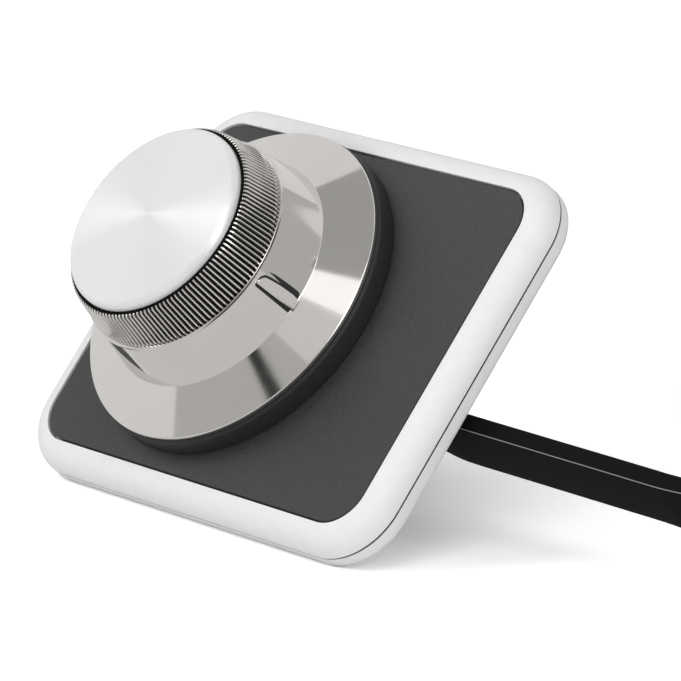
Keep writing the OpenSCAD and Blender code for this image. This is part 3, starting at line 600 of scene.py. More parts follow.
@material("Moulded black ABS")
def moulded_black(tree):
    """Spark-textured ABS as it comes from the mould: black with a fine matt grain."""
    return grained(tree, colours().black, 0, 0.58, 0.06, 0.3, 0.02)


@material("Moulded soft PVC")
def soft_black(tree):
    """Soft PVC of a moulded strain relief: black and dull, with a slight bloom."""
    return grained(tree, colours().rubber, 0, 0.66, 0.06, 0.4, 0.008)


@material("Painted shadow black")
def shadow_black(tree):
    """Painted shade for the gaps in the seam and round the cap: a black so dull that it hardly shines."""
    dull = {"Specular IOR Level": 0.12}
    return grained(tree, linear("#060606"), 0, 0.8, 0.05, 0.3, 0.01, **dull)


@material("Extruded PVC sheath")
def cable_sheath(tree):
    """Extruded PVC sheath: black and dull, with faint lines from the die and a thin painted highlight along
    each corner.
    """
    cable = bpy.context.scene.bass_knob_cable
    sheet = add(tree, "UVMap", uv_map="Length")
    # Die lines about 0.3 mm apart that run on for 40 mm
    lines = add(tree, "Mapping", {"Vector": sheet, "Scale": (1 / (0.3 * MM), 1 / (40 * MM), 1)})
    streak = add(tree, "TexNoise", {"Vector": lines, "Scale": 1, "Detail": 2})
    # The map runs round the section along u: its corners lie at two places in each half of the girth
    arc = math.pi / 2 * cable.edge
    wide, thin = cable.width - 2 * cable.edge, cable.thickness - 2 * cable.edge
    around = add(tree, "SeparateXYZ", {"Vector": sheet})
    half = add(tree, "Math", {0: around, 1: 2 * arc + wide + thin}, operation="MODULO")
    gaps = []
    for corner in (arc / 2, 1.5 * arc + wide):
        off = add(tree, "Math", {0: half, 1: corner}, operation="SUBTRACT")
        gaps.append(add(tree, "Math", {0: off}, operation="ABSOLUTE"))
    near = add(tree, "Math", dict(enumerate(gaps)), operation="MINIMUM")
    # Painted highlight: a thin light grey line along each of the section's four corners
    glint_range = {"Value": near, "From Min": 0.03 * MM, "From Max": 0.08 * MM, "To Min": 1, "To Max": 0}
    painted_glint = add(tree, "MapRange", glint_range)
    tones = {"Fac": painted_glint, "Color1": (*colours().sheath, 1), "Color2": (*linear("#949494"), 1)}
    return {
        "Base Color": add(tree, "MixRGB", tones),
        "Roughness": add(tree, "MapRange", {"Value": streak, "To Min": 0.55, "To Max": 0.65}),
        "Specular IOR Level": 0.02,
        "Normal": add(tree, "Bump", {"Height": streak, "Distance": 0.006 * MM, "Strength": 1}),
    }


@material("Zinc-plated steel")
def zinc_steel(tree):
    """Zinc-plated steel: grey metal with a soft, slightly clouded shine."""
    return grained(tree, linear("#B9BCC0"), 1, 0.3, 0.06, 0.2, 0.002)


@material("Black oxide steel")
def black_steel(tree):
    """Black oxide steel: near black metal with a dull sheen."""
    return grained(tree, linear("#3A3A3C"), 1, 0.42, 0.05, 0.2, 0.002)


@material("Machined brass")
def machined_brass(tree):
    """Machined brass: yellow metal with fine cutter marks."""
    return grained(tree, linear("#D3B067"), 1, 0.28, 0.05, 0.15, 0.002)


@material("Clear polycarbonate")
def clear_plastic(tree):
    """Moulded polycarbonate: clear and glossy, faintly grey."""
    glass = {"IOR": 1.585, "Transmission Weight": 0.9}
    return grained(tree, linear("#F2F4F5"), 0, 0.08, 0.02, 0.5, 0.001, **glass)


@material("Gold-plated contact")
def gold_plate(tree):
    """Gold plate on spring contacts: warm yellow and bright."""
    return grained(tree, linear("#E8C36A"), 1, 0.2, 0.03, 0.1, 0.001)


@material("Natural nylon")
def tie_nylon(tree):
    """Natural nylon of a cable tie: milky white and half matt."""
    return grained(tree, linear("#E9E7E0"), 0, 0.45, 0.05, 0.3, 0.004)


@material("Acrylic adhesive sheet")
def adhesive_sheet(tree):
    """Double-sided acrylic tape: dull amber."""
    return grained(tree, linear("#C8B98A"), 0, 0.7, 0.05, 0.3, 0.004)


@material("Masked glass-epoxy laminate")
def circuit_laminate(tree):
    """Glass-epoxy laminate under solder mask: deep green and glossy over a faint weave."""
    return grained(tree, linear("#1F4A30"), 0, 0.35, 0.05, 0.4, 0.006)


@material("Paper phenolic")
def phenolic_wafer(tree):
    """Paper phenolic of the resistive track: brown and dull."""
    return grained(tree, linear("#6E4A2C"), 0, 0.55, 0.05, 0.25, 0.006)


# Camera and cord


class BASSKNOB_OT_camera(bpy.types.Operator):
    """Set the camera at the photograph's viewpoint"""

    bl_idname = "bassknob.camera"
    bl_label = "Camera"

    def execute(self, context):
        setup = context.scene.bass_knob_studio
        back = toward(setup.azimuth, setup.elevation)
        clear_selection()
        bpy.ops.object.camera_add(location=LOOK_AT + back * setup.distance)
        camera = context.object
        camera.name = "photo_camera"
        camera.rotation_mode = "QUATERNION"
        camera.rotation_quaternion = (-back).to_track_quat("-Z", "Y") @ Quaternion(UP, setup.roll)
        camera.data.lens = setup.lens
        camera.data.sensor_width = 36
        camera.data.clip_start = 0.01
        context.scene.camera = camera
        return {"FINISHED"}


# The cable's way, as in the part's source: x, y and z in metres, and the lean of its wide side
# from upright, in degrees. The lead's own end and tilt come from the frame.
RUN_Y, RUN_Z, RUN_LEAN = 0.0037, 0.01296, 36.5
BEND_X, BEND_R = 0.066, 0.0195
COIL_MIDDLE = Vector((0.0345, 0.108, 0))
TAIL_Y = 0.057


def on_bend(degrees, height, lean):
    """A route point on the bend that leads the cable back to its coil."""
    a = math.radians(degrees)
    return (BEND_X + BEND_R * math.cos(a), RUN_Y + BEND_R + BEND_R * math.sin(a), height, lean)


RUN = (
    (0.026, RUN_Y, RUN_Z, RUN_LEAN + 3),
    (0.029, RUN_Y, RUN_Z, RUN_LEAN),
    (0.034, RUN_Y, RUN_Z - 0.00003, RUN_LEAN),
    (0.040, RUN_Y, RUN_Z - 0.00006, RUN_LEAN),
    (0.046, RUN_Y, RUN_Z - 0.0001, RUN_LEAN),
    (0.052, RUN_Y, RUN_Z - 0.00013, RUN_LEAN),
    (0.057, RUN_Y, RUN_Z - 0.00016, RUN_LEAN),
    (0.062, RUN_Y, RUN_Z - 0.0002, RUN_LEAN),
    on_bend(-90, 0.0127, 35),
    on_bend(-72, 0.0124, 29),
    on_bend(-54, 0.0118, 22),
    on_bend(-36, 0.0110, 15),
    on_bend(-18, 0.0099, 9),
    on_bend(0, 0.0087, 4),
    (BEND_X + BEND_R, 0.040, 0.0068, 1),
    (BEND_X + BEND_R, 0.053, 0.0054, 0),
    (BEND_X + BEND_R, 0.067, 0.0045, 0),
    (BEND_X + BEND_R, 0.083, 0.0042, 0),
)
TAIL = (
    (COIL_MIDDLE.x + 0.0110, TAIL_Y, 0.0116, 10),
    (COIL_MIDDLE.x + 0.0145, TAIL_Y - 0.0002, 0.0108, 26),
    (COIL_MIDDLE.x + 0.0180, TAIL_Y - 0.0005, 0.0094, 46),
    (COIL_MIDDLE.x + 0.0215, TAIL_Y - 0.0009, 0.0073, 66),
    (COIL_MIDDLE.x + 0.0250, TAIL_Y - 0.0013, 0.0051, 82),
    (COIL_MIDDLE.x + 0.0285, TAIL_Y - 0.0015, 0.0037, 89),
    (COIL_MIDDLE.x + 0.0325, TAIL_Y - 0.0015, 0.0033, 90),
)
COIL_LOW, COIL_HIGH = 0.0042, 0.0118
# The winding dips inwards by this much round its middle, over this share of a turn on each side
COIL_DIP, DIP_TURNS = 0.002, 0.375
# Straight lead-in of the coil
LEAD_IN = 0.007
COIL_RINGS = 48
TIE_TURN = math.radians(30)


def smooth_route(points, steps=4):
    """Points on a smooth curve through route points of place and lean."""
    rows = [Vector(p) for p in points]
    path = []
    for i in range(len(rows) - 1):
        a, b, c, d = (rows[min(max(i + k, 0), len(rows) - 1)] for k in (-1, 0, 1, 2))
        for k in range(steps):
            t = k / steps
            bend, twist = 2 * a - 5 * b + 4 * c - d, 3 * b - a - 3 * c + d
            path.append(0.5 * (2 * b + (c - a) * t + bend * t * t + twist * t**3))
    return path + [rows[-1]]


def coil_route(cable):
    """The coil's points from its lower outside turn inwards, and outwards again in the upper layer."""
    last = round(cable.turns * COIL_RINGS)
    inner = cable.coil_radius - cable.turn_pitch * cable.turns / 2
    path = []
    for i in range(last + 1):
        turns = abs(i - last / 2) / COIL_RINGS
        dip = COIL_DIP * math.cos(math.pi / 2 * turns / DIP_TURNS) ** 2 if turns < DIP_TURNS else 0
        r = inner + cable.turn_pitch * turns - dip
        a = WHOLE_TURN * i / COIL_RINGS
        s = min(max(0.5 + 2 * (i - last / 2) / COIL_RINGS, 0), 1)
        z = COIL_LOW + (COIL_HIGH - COIL_LOW) * s * s * (3 - 2 * s)
        place = COIL_MIDDLE + Vector((r * math.cos(a), r * math.sin(a), z))
        path.append(Vector((*place, 0)))
    return path


def cable_section(cable, steps=4):
    """The flat cable's section with small round corners, as (along its width, along its thickness)."""
    half_w, half_t, e = cable.width / 2, cable.thickness / 2, cable.edge
    ring = []
    for k, (sx, sy) in enumerate(((1, 1), (-1, 1), (-1, -1), (1, -1))):
        for i in range(steps + 1):
            a = math.pi / 2 * (k + i / steps)
            ring.append((sx * (half_w - e) + e * math.cos(a), sy * (half_t - e) + e * math.sin(a)))
    return ring


class BASSKNOB_OT_coil_tie(bpy.types.Operator):
    """Model the tie that holds the coil"""

    bl_idname = "bassknob.coil_tie"
    bl_label = "Coil tie"

    def execute(self, context):
        cable = context.scene.bass_knob_cable
        turn = Matrix.Translation(COIL_MIDDLE) @ Matrix.Rotation(TIE_TURN, 4, "Z")
        low, high = box_in(turn, "coil_tie")
        corner, edge = 2.1 * MM, 0.08 * MM
        band = begin("coil_tie_band", bpy.ops.mesh.primitive_plane_add, size=1)
        bpy.ops.transform.resize(value=(high.x - low.x, high.z - low.z, 1))
        bpy.ops.mesh.bevel(offset=corner, segments=8, affect="VERTICES")
        select_all()
        bpy.ops.mesh.inset(thickness=cable.band_thickness)
        bpy.ops.mesh.delete(type="FACE")
        select_all()
        extrude(0, 0, cable.band_width)
        heal()
        apply_modifier(band, "BEVEL", width=edge, segments=2, limit_method="ANGLE")
        middle = Vector(((low.x + high.x) / 2, high.y, (low.z + high.z) / 2))
        place = turn @ Matrix.Translation(middle) @ Matrix.Rotation(math.pi / 2, 4, "X")
        complete(band, place, "base", "tie_white", tie_nylon(), "coil_tie")
        return {"FINISHED"}


class BASSKNOB_OT_plug(bpy.types.Operator):
    """Model the modular plug at the cable's far end"""

    bl_idname = "bassknob.plug"
    bl_label = "Plug"

    def execute(self, context):
        low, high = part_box("plug_body")
        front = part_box("plug_contacts")[1].x - low.x
        tall = 6.6 * MM
        length, width = high.x - low.x, high.y - low.y
        plug = block("modular_plug", (length, width, tall), (length / 2, 0, tall / 2))
        bpy.ops.mesh.bevel(offset=0.3 * MM, segments=3, affect="EDGES")
        # Six slots for the contacts, open to the underside
        contacts, pitch, setback = 6, 1.02 * MM, 1.7 * MM
        slot = Vector((3.5, 0.45, 3.9)) * MM
        for i in range(contacts):
            across = (i - (contacts - 1) / 2) * pitch
            carve(plug, block("slot", slot, (front - setback, across, 0)))
        # The latch, which rises towards the cable
        thick = 0.8 * MM
        latch = (length - MM, 3.2 * MM, thick)
        tab = block("tab", latch, (length / 2 + 0.2 * MM, 0, tall - thick / 2))
        select("VERT", lambda v: v.co.x < length / 2)
        bpy.ops.transform.translate(value=(0, 0, high.z - low.z - tall))
        select_all()
        bpy.ops.mesh.bevel(offset=0.12 * MM, segments=2, affect="EDGES")
        carve(plug, tab, "UNION")
        place = Matrix.Translation((low.x, (low.y + high.y) / 2, low.z))
        complete(plug, place, "base", "clear_plastic", clear_plastic(), "plug_body")
        return {"FINISHED"}


class BASSKNOB_OT_cable(bpy.types.Operator):
    """Sweep the flat cable along its way, coil and all"""

    bl_idname = "bassknob.cable"
    bl_label = "Cable"

    def execute(self, context):
        cable = context.scene.bass_knob_cable
        low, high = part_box("inner_lead")
        leave = Vector((high.x, (low.y + high.y) / 2, (low.z + high.z) / 2))
        rows = self.route(cable, leave)
        section = cable_section(cable)
        covered = [0]
        for here, ahead in zip(rows, rows[1:]):
            covered.append(covered[-1] + (ahead.xyz - here.xyz).length)
        piece = self.swept(rows, section, covered)
        context.scene.collection.objects.link(piece)
        focus(piece)
        bpy.ops.object.shade_smooth_by_angle(angle=math.radians(40))
        dress(piece, "base", "cable_sheath", cable_sheath(), "cable_run", "cable_coil", "cable_tail")
        return {"FINISHED"}

    def route(self, cable, leave):
        """The cable's way from its strain relief, through the coil, to its plug, as place and lean."""
        tilt = math.degrees(TILT)
        straight = (leave.x + 3 * MM, leave.y, leave.z, tilt - 4)
        way_in = (COIL_MIDDLE.x + cable.coil_radius, COIL_MIDDLE.y - LEAD_IN, COIL_LOW, 0)
        way_out = (COIL_MIDDLE.x + LEAD_IN, COIL_MIDDLE.y - cable.coil_radius, COIL_HIGH, 0)
        run = smooth_route([(*leave, tilt), straight, *RUN, way_in])
        return run + coil_route(cable) + smooth_route([way_out, *TAIL])

    def swept(self, rows, section, covered):
        """The section swept along the rows, with a map that runs round it along u and on along v."""
        n = len(section)
        girth = [0]
        for here, ahead in zip(section, section[1:] + section[:1]):
            girth.append(girth[-1] + math.dist(here, ahead))
        points = []
        for i, row in enumerate(rows):
            along = (rows[min(i + 1, len(rows) - 1)].xyz - rows[max(i - 1, 0)].xyz).normalized()
            lean = math.radians(row.w)
            right = Vector((along.y, -along.x, 0)).normalized()
            wide = math.sin(lean) * right + Vector((0, 0, math.cos(lean)))
            wide = (wide - wide.dot(along) * along).normalized()
            thin = along.cross(wide)
            points += [row.xyz + u * wide + v * thin for u, v in section]
        faces = [tuple(reversed(range(n))), tuple(range(len(points) - n, len(points)))]
        sheet = [[(0, 0)] * n] * 2
        for i in range(len(rows) - 1):
            for j in range(n):
                k = (j + 1) % n
                faces.append((i * n + j, i * n + k, (i + 1) * n + k, (i + 1) * n + j))
                u, w = girth[j], girth[j + 1]
                sheet.append([(u, covered[i]), (w, covered[i]), (w, covered[i + 1]), (u, covered[i + 1])])
        skin = bpy.data.meshes.new("flat_cable")
        skin.from_pydata(points, [], faces)
        layer = skin.uv_layers.new(name="Length")
        for face, corners in zip(skin.polygons, sheet):
            for loop, corner in zip(face.loop_indices, corners):
                layer.data[loop].uv = corner
        return bpy.data.objects.new("flat_cable", skin)


# Plate


class BASSKNOB_OT_front_frame(bpy.types.Operator):
    """Model the silver frame round the panel"""

    bl_idname = "bassknob.front_frame"
    bl_label = "Front frame"

    def execute(self, context):
        plate = context.scene.bass_knob_plate
        low, high = PLATE_LOW.z, PLATE_HIGH.z
        border = (PLATE_SIZE.x - (PANEL_HIGH.x - PANEL_LOW.x)) / 2 - plate.panel_gap
        corner, edge = plate.corner, plate.front_edge
        piece = rounded_plate("frame_casting", PLATE_MIDDLE, PLATE_SIZE, corner, low, high, edge)
        select("FACE", lambda f: f.normal.z > LEVEL and f.calc_center_median().z > high - WELD)
        bpy.ops.mesh.inset(thickness=border - edge)
        extrude(0, 0, PANEL_LOW.z - high)
        half_x, half_y = (side / 2 - border + WELD for side in PLATE_SIZE.xy)

        def on_lip(v):
            off = v.co - PLATE_MIDDLE
            return v.co.z > high - WELD and abs(off.x) < half_x and abs(off.y) < half_y

        select("EDGE", lambda e: all(map(on_lip, e.verts)))
        bpy.ops.mesh.bevel(offset=plate.lip_edge, segments=3, affect="EDGES")
        heal()
        drilled(piece, [(0, 0)], low - MM, PANEL_LOW.z + MM, plate.bushing)
        complete(piece, ON_KNOB, "base", "satin_silver", silver_lacquer(), "front_frame")
        return {"FINISHED"}


class BASSKNOB_OT_front_panel(bpy.types.Operator):
    """Model the inset panel, with a gap round it that shows"""

    bl_idname = "bassknob.front_panel"
    bl_label = "Front panel"

    def execute(self, context):
        plate = context.scene.bass_knob_plate
        low, high = PANEL_LOW.z, PANEL_HIGH.z
        sides = [side - 2 * plate.panel_trim for side in (PANEL_HIGH - PANEL_LOW).xy]
        corner = plate.window_corner - plate.panel_gap - plate.panel_trim
        piece = rounded_plate("panel_sheet", PLATE_MIDDLE, sides, corner, low, high, plate.panel_edge)
        drilled(piece, [(0, 0)], low - MM, high + MM, plate.bushing)
        complete(piece, ON_KNOB, "base", "charcoal_panel", charcoal_coat(), "front_panel")
        return {"FINISHED"}


def housing_room(plate, middle, low, high):
    """The space that cover and housing leave for the pot and its board."""
    sides = [side - 2 * plate.wall for side in (plate.housing_width, HOUSING_HIGH.y - HOUSING_LOW.y)]
    return rounded_plate("room", middle, sides, plate.housing_corner - plate.wall, low, high)


class BASSKNOB_OT_rear_cover(bpy.types.Operator):
    """Model the rear cover with its countersinks, and a black strip of painted shade in the seam"""

    bl_idname = "bassknob.rear_cover"
    bl_label = "Rear cover"

    def execute(self, context):
        plate = context.scene.bass_knob_plate
        seam = COVER_HIGH.z - plate.seam_height
        rim = seam - COVER_LOW.z
        middle = PLATE_MIDDLE.xy
        piece = rounded_plate("cover_plate", ORIGIN, PLATE_SIZE, plate.corner, 0, rim, plate.back_edge)
        select("FACE", lambda f: f.normal.z < -LEVEL)
        bpy.ops.mesh.inset(thickness=plate.seam_depth)
        extrude(0, 0, -plate.seam_height)
        heal()
        carve(piece, housing_room(plate, (-middle.x, middle.y), -MM, rim + MM))
        spots = [(x - middle.x, middle.y - y) for x, y in screw_spots("cover_screws", plate.head_radius)]
        shank, head = (radius + 0.05 * MM for radius in (plate.screw_radius, plate.head_radius))
        drilled(piece, spots, rim - (head - shank), rim + WELD / 2, shank, head)
        place = ON_KNOB @ Matrix.Translation((*middle, seam)) @ UPSIDE_DOWN
        complete(piece, place, "base", "satin_silver", silver_lacquer(), "rear_cover")
        self.shadow_strip(plate, seam)
        return {"FINISHED"}

    def shadow_strip(self, plate, low):
        """A black strip in the seam all round: painted shade of the gap between frame and cover."""
        high, play = COVER_HIGH.z, 0.02 * MM

        def inset_plate(name, inset, low, high):
            sides = [side - 2 * inset for side in PLATE_SIZE.xy]
            return rounded_plate(name, PLATE_MIDDLE, sides, plate.corner - inset, low, high)

        strip = inset_plate("seam_shadow_strip", plate.shadow_strip_recess, low, high)
        carve(strip, inset_plate("room", plate.seam_depth - play, low - MM, high + MM))
        complete(strip, ON_KNOB, "base", "rubber", shadow_black())


class BASSKNOB_OT_rear_housing(bpy.types.Operator):
    """Model the housing behind the cover, with its ears and mounting holes"""

    bl_idname = "bassknob.rear_housing"
    bl_label = "Rear housing"

    def execute(self, context):
        plate = context.scene.bass_knob_plate
        across, height, depth = HOUSING_HIGH - HOUSING_LOW
        corner, edge = plate.housing_corner, plate.housing_edge
        piece = rounded_plate("housing_tub", ORIGIN, (plate.housing_width, height), corner, 0, depth, edge)
        ear = plate.ear_radius
        # A little short of a half circle, so that the ears' ends keep a flat
        ear_corner = 0.999 * ear
        for side in (-1, 1):
            middle = (0, side * (height / 2 - ear))
            bar = (across, 2 * ear)
            ears = rounded_plate("ears", middle, bar, ear_corner, 0, plate.ear_thickness, plate.mould_edge)
            carve(piece, ears, "UNION")
        carve(piece, housing_room(plate, ORIGIN, -MM, depth - plate.floor))
        half = plate.mount_spacing / 2
        mounts = ((-half, 0), (half, 0))
        # Bosses behind the mounting holes, which reach into the room
        round_bar, reach = {"vertices": HOLE_STEPS, "radius": 3 * MM, "depth": 2.4 * MM}, 0.6 * MM
        for x, y in mounts:
            boss = begin("boss", bpy.ops.mesh.primitive_cylinder_add, **round_bar)
            bpy.ops.transform.translate(value=(x, y, depth - plate.floor - reach))
            carve(piece, boss, "UNION")
        low, high = knob_box("inner_lead")
        lead = (2 * plate.wall, high.y - low.y, high.z - low.z)
        in_wall = plate.housing_width / 2 - plate.wall / 2
        through = (in_wall, -(low.y + high.y) / 2, HOUSING_HIGH.z - (low.z + high.z) / 2)
        carve(piece, block("lead_slot", lead, through))
        drilled(piece, mounts, depth - plate.mount_depth, depth + MM, plate.mount_radius)
        place = ON_KNOB @ Matrix.Translation((0, 0, HOUSING_HIGH.z)) @ UPSIDE_DOWN
        complete(piece, place, "base", "black_plastic", moulded_black(), "rear_housing")
        return {"FINISHED"}


class BASSKNOB_OT_strain_relief(bpy.types.Operator):
    """Model the tapered boot with its grooves"""

    bl_idname = "bassknob.strain_relief"
    bl_label = "Strain relief"

    def execute(self, context):
        cable = context.scene.bass_knob_cable
        start = context.scene.bass_knob_plate.housing_width / 2
        reach = BOOT_HIGH.x - start
        wide, thick = BOOT_HIGH.z - BOOT_LOW.z, BOOT_HIGH.y - BOOT_LOW.y
        tip, corner, groove, groove_share = 2.2 * MM, 1 * MM, 0.35 * MM, 0.1
        mouth_play, mouth_depth = 0.05 * MM, 0.6 * MM
        # Where the boot steps, as shares of its length, and how deep the section is cut there
        marks = []
        for share in (0.2, 0.45, 0.7):
            end = share + groove_share
            marks += [(share, 0), (share, groove), (end, groove), (end, 0)]
        piece = begin("boot_sleeve", bpy.ops.mesh.primitive_plane_add, size=1)
        bpy.ops.transform.resize(value=(wide, thick, 1))
        bpy.ops.mesh.bevel(offset=corner, segments=6, affect="VERTICES")
        select_all()
        at, now = 0, (wide, thick)
        for share, cut in (*marks, (1, 0)):
            goal = (wide - tip * share - 2 * cut, thick - tip * share - 2 * cut)
            extrude(0, 0, (share - at) * reach)
            bpy.ops.transform.resize(value=(goal[0] / now[0], goal[1] / now[1], 1))
            at, now = share, goal
        bpy.ops.mesh.inset(thickness=(now[1] - cable.thickness) / 2 - mouth_play)
        extrude(0, 0, -mouth_depth)
        heal()
        soft = {"width": 0.1 * MM, "segments": 2, "limit_method": "ANGLE", "angle_limit": math.radians(50)}
        apply_modifier(piece, "BEVEL", **soft)
        low, high = knob_box("inner_lead")
        middle = Vector((start, (low.y + high.y) / 2, (low.z + high.z) / 2))
        place = ON_KNOB @ Matrix.Translation(middle) @ Matrix.Rotation(math.pi / 2, 4, "Y")
        complete(piece, place, "base", "rubber", soft_black(), "strain_relief")
        return {"FINISHED"}


class BASSKNOB_OT_rear_screws(bpy.types.Operator):
    """Model the screws of cover and housing, with cross recesses"""

    bl_idname = "bassknob.rear_screws"
    bl_label = "Rear screws"

    def execute(self, context):
        plate = context.scene.bass_knob_plate
        head, shank, tall = plate.head_radius, plate.screw_radius, plate.head_height
        low, high = knob_box("cover_screws")
        deep = low.z - high.z
        sunk = ((0, deep, 0), (shank, deep, 0), (shank, shank - head, 0), (head, 0, 0.05 * MM), (0, 0, 0))
        self.cross_screws("cover_screw_set", sunk, 0, low.z, "cover_screws", zinc_steel())
        low, high = knob_box("housing_screws")
        deep = low.z - high.z + tall
        foot = ((0, deep, 0), (shank, deep, 0), (shank, 0, 0))
        pan = (*foot, (head, 0, 0.1 * MM), (head, tall, 0.9 * MM), (0, tall, 0))
        self.cross_screws("housing_screw_set", pan, tall, low.z + tall, "housing_screws", black_steel())
        return {"FINISHED"}

    def cross_screws(self, name, corners, top, seat, node, finish):
        """Turns one screw, cuts its cross and copies it to its four places, head to the back."""
        piece = turned(name, filleted(corners), HOLE_STEPS)
        arm, width, depth = 1.2 * MM, 0.5 * MM, 0.9 * MM
        narrowed = (0.4, 0.7, 1)
        for turn in (0, math.pi / 2):
            cutter = block("cross", (2 * arm, width, 2 * depth), (0, 0, top))
            select("VERT", lambda v: v.co.z < top)
            bpy.ops.transform.resize(value=narrowed)
            select_all()
            bpy.ops.transform.rotate(value=turn, orient_axis="Z", center_override=ORIGIN)
            carve(piece, cutter)
        copies = []
        for x, y in screw_spots(node, bpy.context.scene.bass_knob_plate.head_radius):
            copy = piece.copy()
            copy.data = piece.data.copy()
            bpy.context.scene.collection.objects.link(copy)
            copy.matrix_world = ON_KNOB @ Matrix.Translation((x, y, seat)) @ UPSIDE_DOWN
            copies.append(copy)
        bpy.data.objects.remove(piece, do_unlink=True)
        focus(copies[0])
        for copy in copies:
            copy.select_set(True)
        bpy.ops.object.join()
        joined = bpy.context.object
        joined.name = joined.data.name = name
        bpy.ops.object.transform_apply(location=True, rotation=True, scale=True)
        bpy.ops.object.shade_smooth_by_angle(angle=math.radians(30))
        dress(joined, "base", "steel", finish, node)


# Knob


class BASSKNOB_OT_base_ring(bpy.types.Operator):
    """Turn the black ring that the knob stands in"""

    bl_idname = "bassknob.base_ring"
    bl_label = "Base ring"

    def execute(self, context):
        knob = context.scene.bass_knob_knob
        low, high, outer, groove = RING_LOW.z, RING_HIGH.z, RING_HIGH.x, knob.ring_groove
        corners = (
            (outer - knob.ring_width, low, 0),
            (outer - groove, low, 0),
            (outer - groove, low + groove, 0),
            (outer, low + groove, 0.06 * MM),
            (outer, high, knob.ring_edge),
            (outer - knob.ring_width, high, 0.2 * MM),
        )
        piece = turned_ring("knob_collar", corners)
        complete(piece, ON_KNOB, "base", "black_ring", ring_coat(), "base_ring")
        return {"FINISHED"}


class BASSKNOB_OT_knob_shell(bpy.types.Operator):
    """Turn the chrome shell and set its index on it"""

    bl_idname = "bassknob.knob_shell"
    bl_label = "Knob shell"

    # Outlines of the index as (up from the crease, across) in millimetres, read off the photograph
    PAD = (
        (5.93, -0.76), (5.9, -0.35), (5.73, 0.15), (5.4, 0.45), (4.2, 0.65), (3, 0.78),
        (1.2, 0.86), (0.5, 0.78), (0.13, 0.62), (0.02, 0.45), (0.02, -0.72),
    )
    BED = (
        (5.85, -0.95), (5.7, -1.1), (0.2, -1.21), (0.1, -0.7), (0.1, 0.6), (0.2, 1.45), (0.55, 1.64),
        (2.54, 1.61), (4.39, 1.5), (5.25, 1.3), (4.2, 1.22), (3.1, 1.08), (4.32, 0.96), (5.4, 0.76),
        (5.8, 0.32), (5.95, -0.25), (5.95, -0.74),
    )

    def execute(self, context):
        knob = context.scene.bass_knob_knob
        wall = knob.wall
        skirt = (SHELL_HIGH.y - SHELL_LOW.y) / 2
        foot, top = SHELL_LOW.z, SHELL_HIGH.z
        crease = foot + knob.skirt_height
        rim, under = foot - knob.rim_drop, top - 2 * MM
        lip = knob.body_top + knob.lip_reach
        body_end = top - knob.lip_height - knob.lip_reach
        cone = (skirt - knob.body_foot) / (knob.skirt_height - knob.skirt_edge)
        corners = (
            (knob.hole, top, 0),
            (lip, top, 0.08 * MM),
            (lip, top - knob.lip_height, 0.05 * MM),
            (knob.body_top, body_end, 0),
            (knob.body_foot, crease, 0.15 * MM),
            (skirt, foot + knob.skirt_edge, 0.2 * MM),
            (skirt, rim, 0.1 * MM),
            (skirt - cone * (wall - knob.skirt_edge), rim, 0),
            (knob.body_foot - wall / 2, crease - wall, 0),
            (knob.body_foot - wall, crease, 0),
            (knob.body_top - wall, under, 0),
            (knob.hole, under, 0),
        )
        piece = turned_ring("chrome_shell", corners)
        # The skirt's cone keeps its own slope in the mirror; only the fillets at its ends bend it
        fillet = 0.06 * MM
        select("VERT", lambda v: v.co.z > foot and v.co.xy.length > knob.body_foot + fillet)
        bpy.ops.object.vertex_group_assign_new()
        cone_rings = piece.vertex_groups[-1].name
        settle(piece, ON_KNOB)
        by_area = {"mode": "FACE_AREA", "weight": 50, "keep_sharp": True}
        apply_modifier(piece, "WEIGHTED_NORMAL", vertex_group=cone_rings, **by_area)
        dress(piece, "knob", "chrome", chrome_plate(), "knob_shell")
        # The index: a plated pad in a black bed that shows as lines beside it, the thin one along the pad's
        # edge as painted shade
        span = (crease, body_end)
        self.slip(knob, "index_bed", self.BED, span, knob.index_bed, "black_plastic", index_line_black())
        self.slip(knob, "index_pad", self.PAD, span, knob.index_height, "chrome", chrome_plate())
        return {"FINISHED"}

    def slip(self, knob, name, outline, span, rise, slot, finish):
        """A slip that stands up from the body by a little, cut from a wider cone with the same slope."""
        low, high = span
        core = knob.body_top - knob.wall / 2
        cone = [(knob.body_foot + rise, low), (knob.body_top + rise, high), (core, high), (core, low)]
        piece = turned(name, cone + cone[:1])
        points = [(0, across * MM, low + up * MM) for up, across in outline]
        cutter = drawn("outline", points + points[:1])
        heal()
        bpy.ops.mesh.edge_face_add()
        extrude(2 * knob.body_foot, 0, 0)
        heal()
        bpy.ops.transform.rotate(value=-knob.index_turn, orient_axis="Z", center_override=ORIGIN)
        carve(piece, cutter, "INTERSECT")
        complete(piece, ON_KNOB, "knob", slot, finish, "knob_shell")


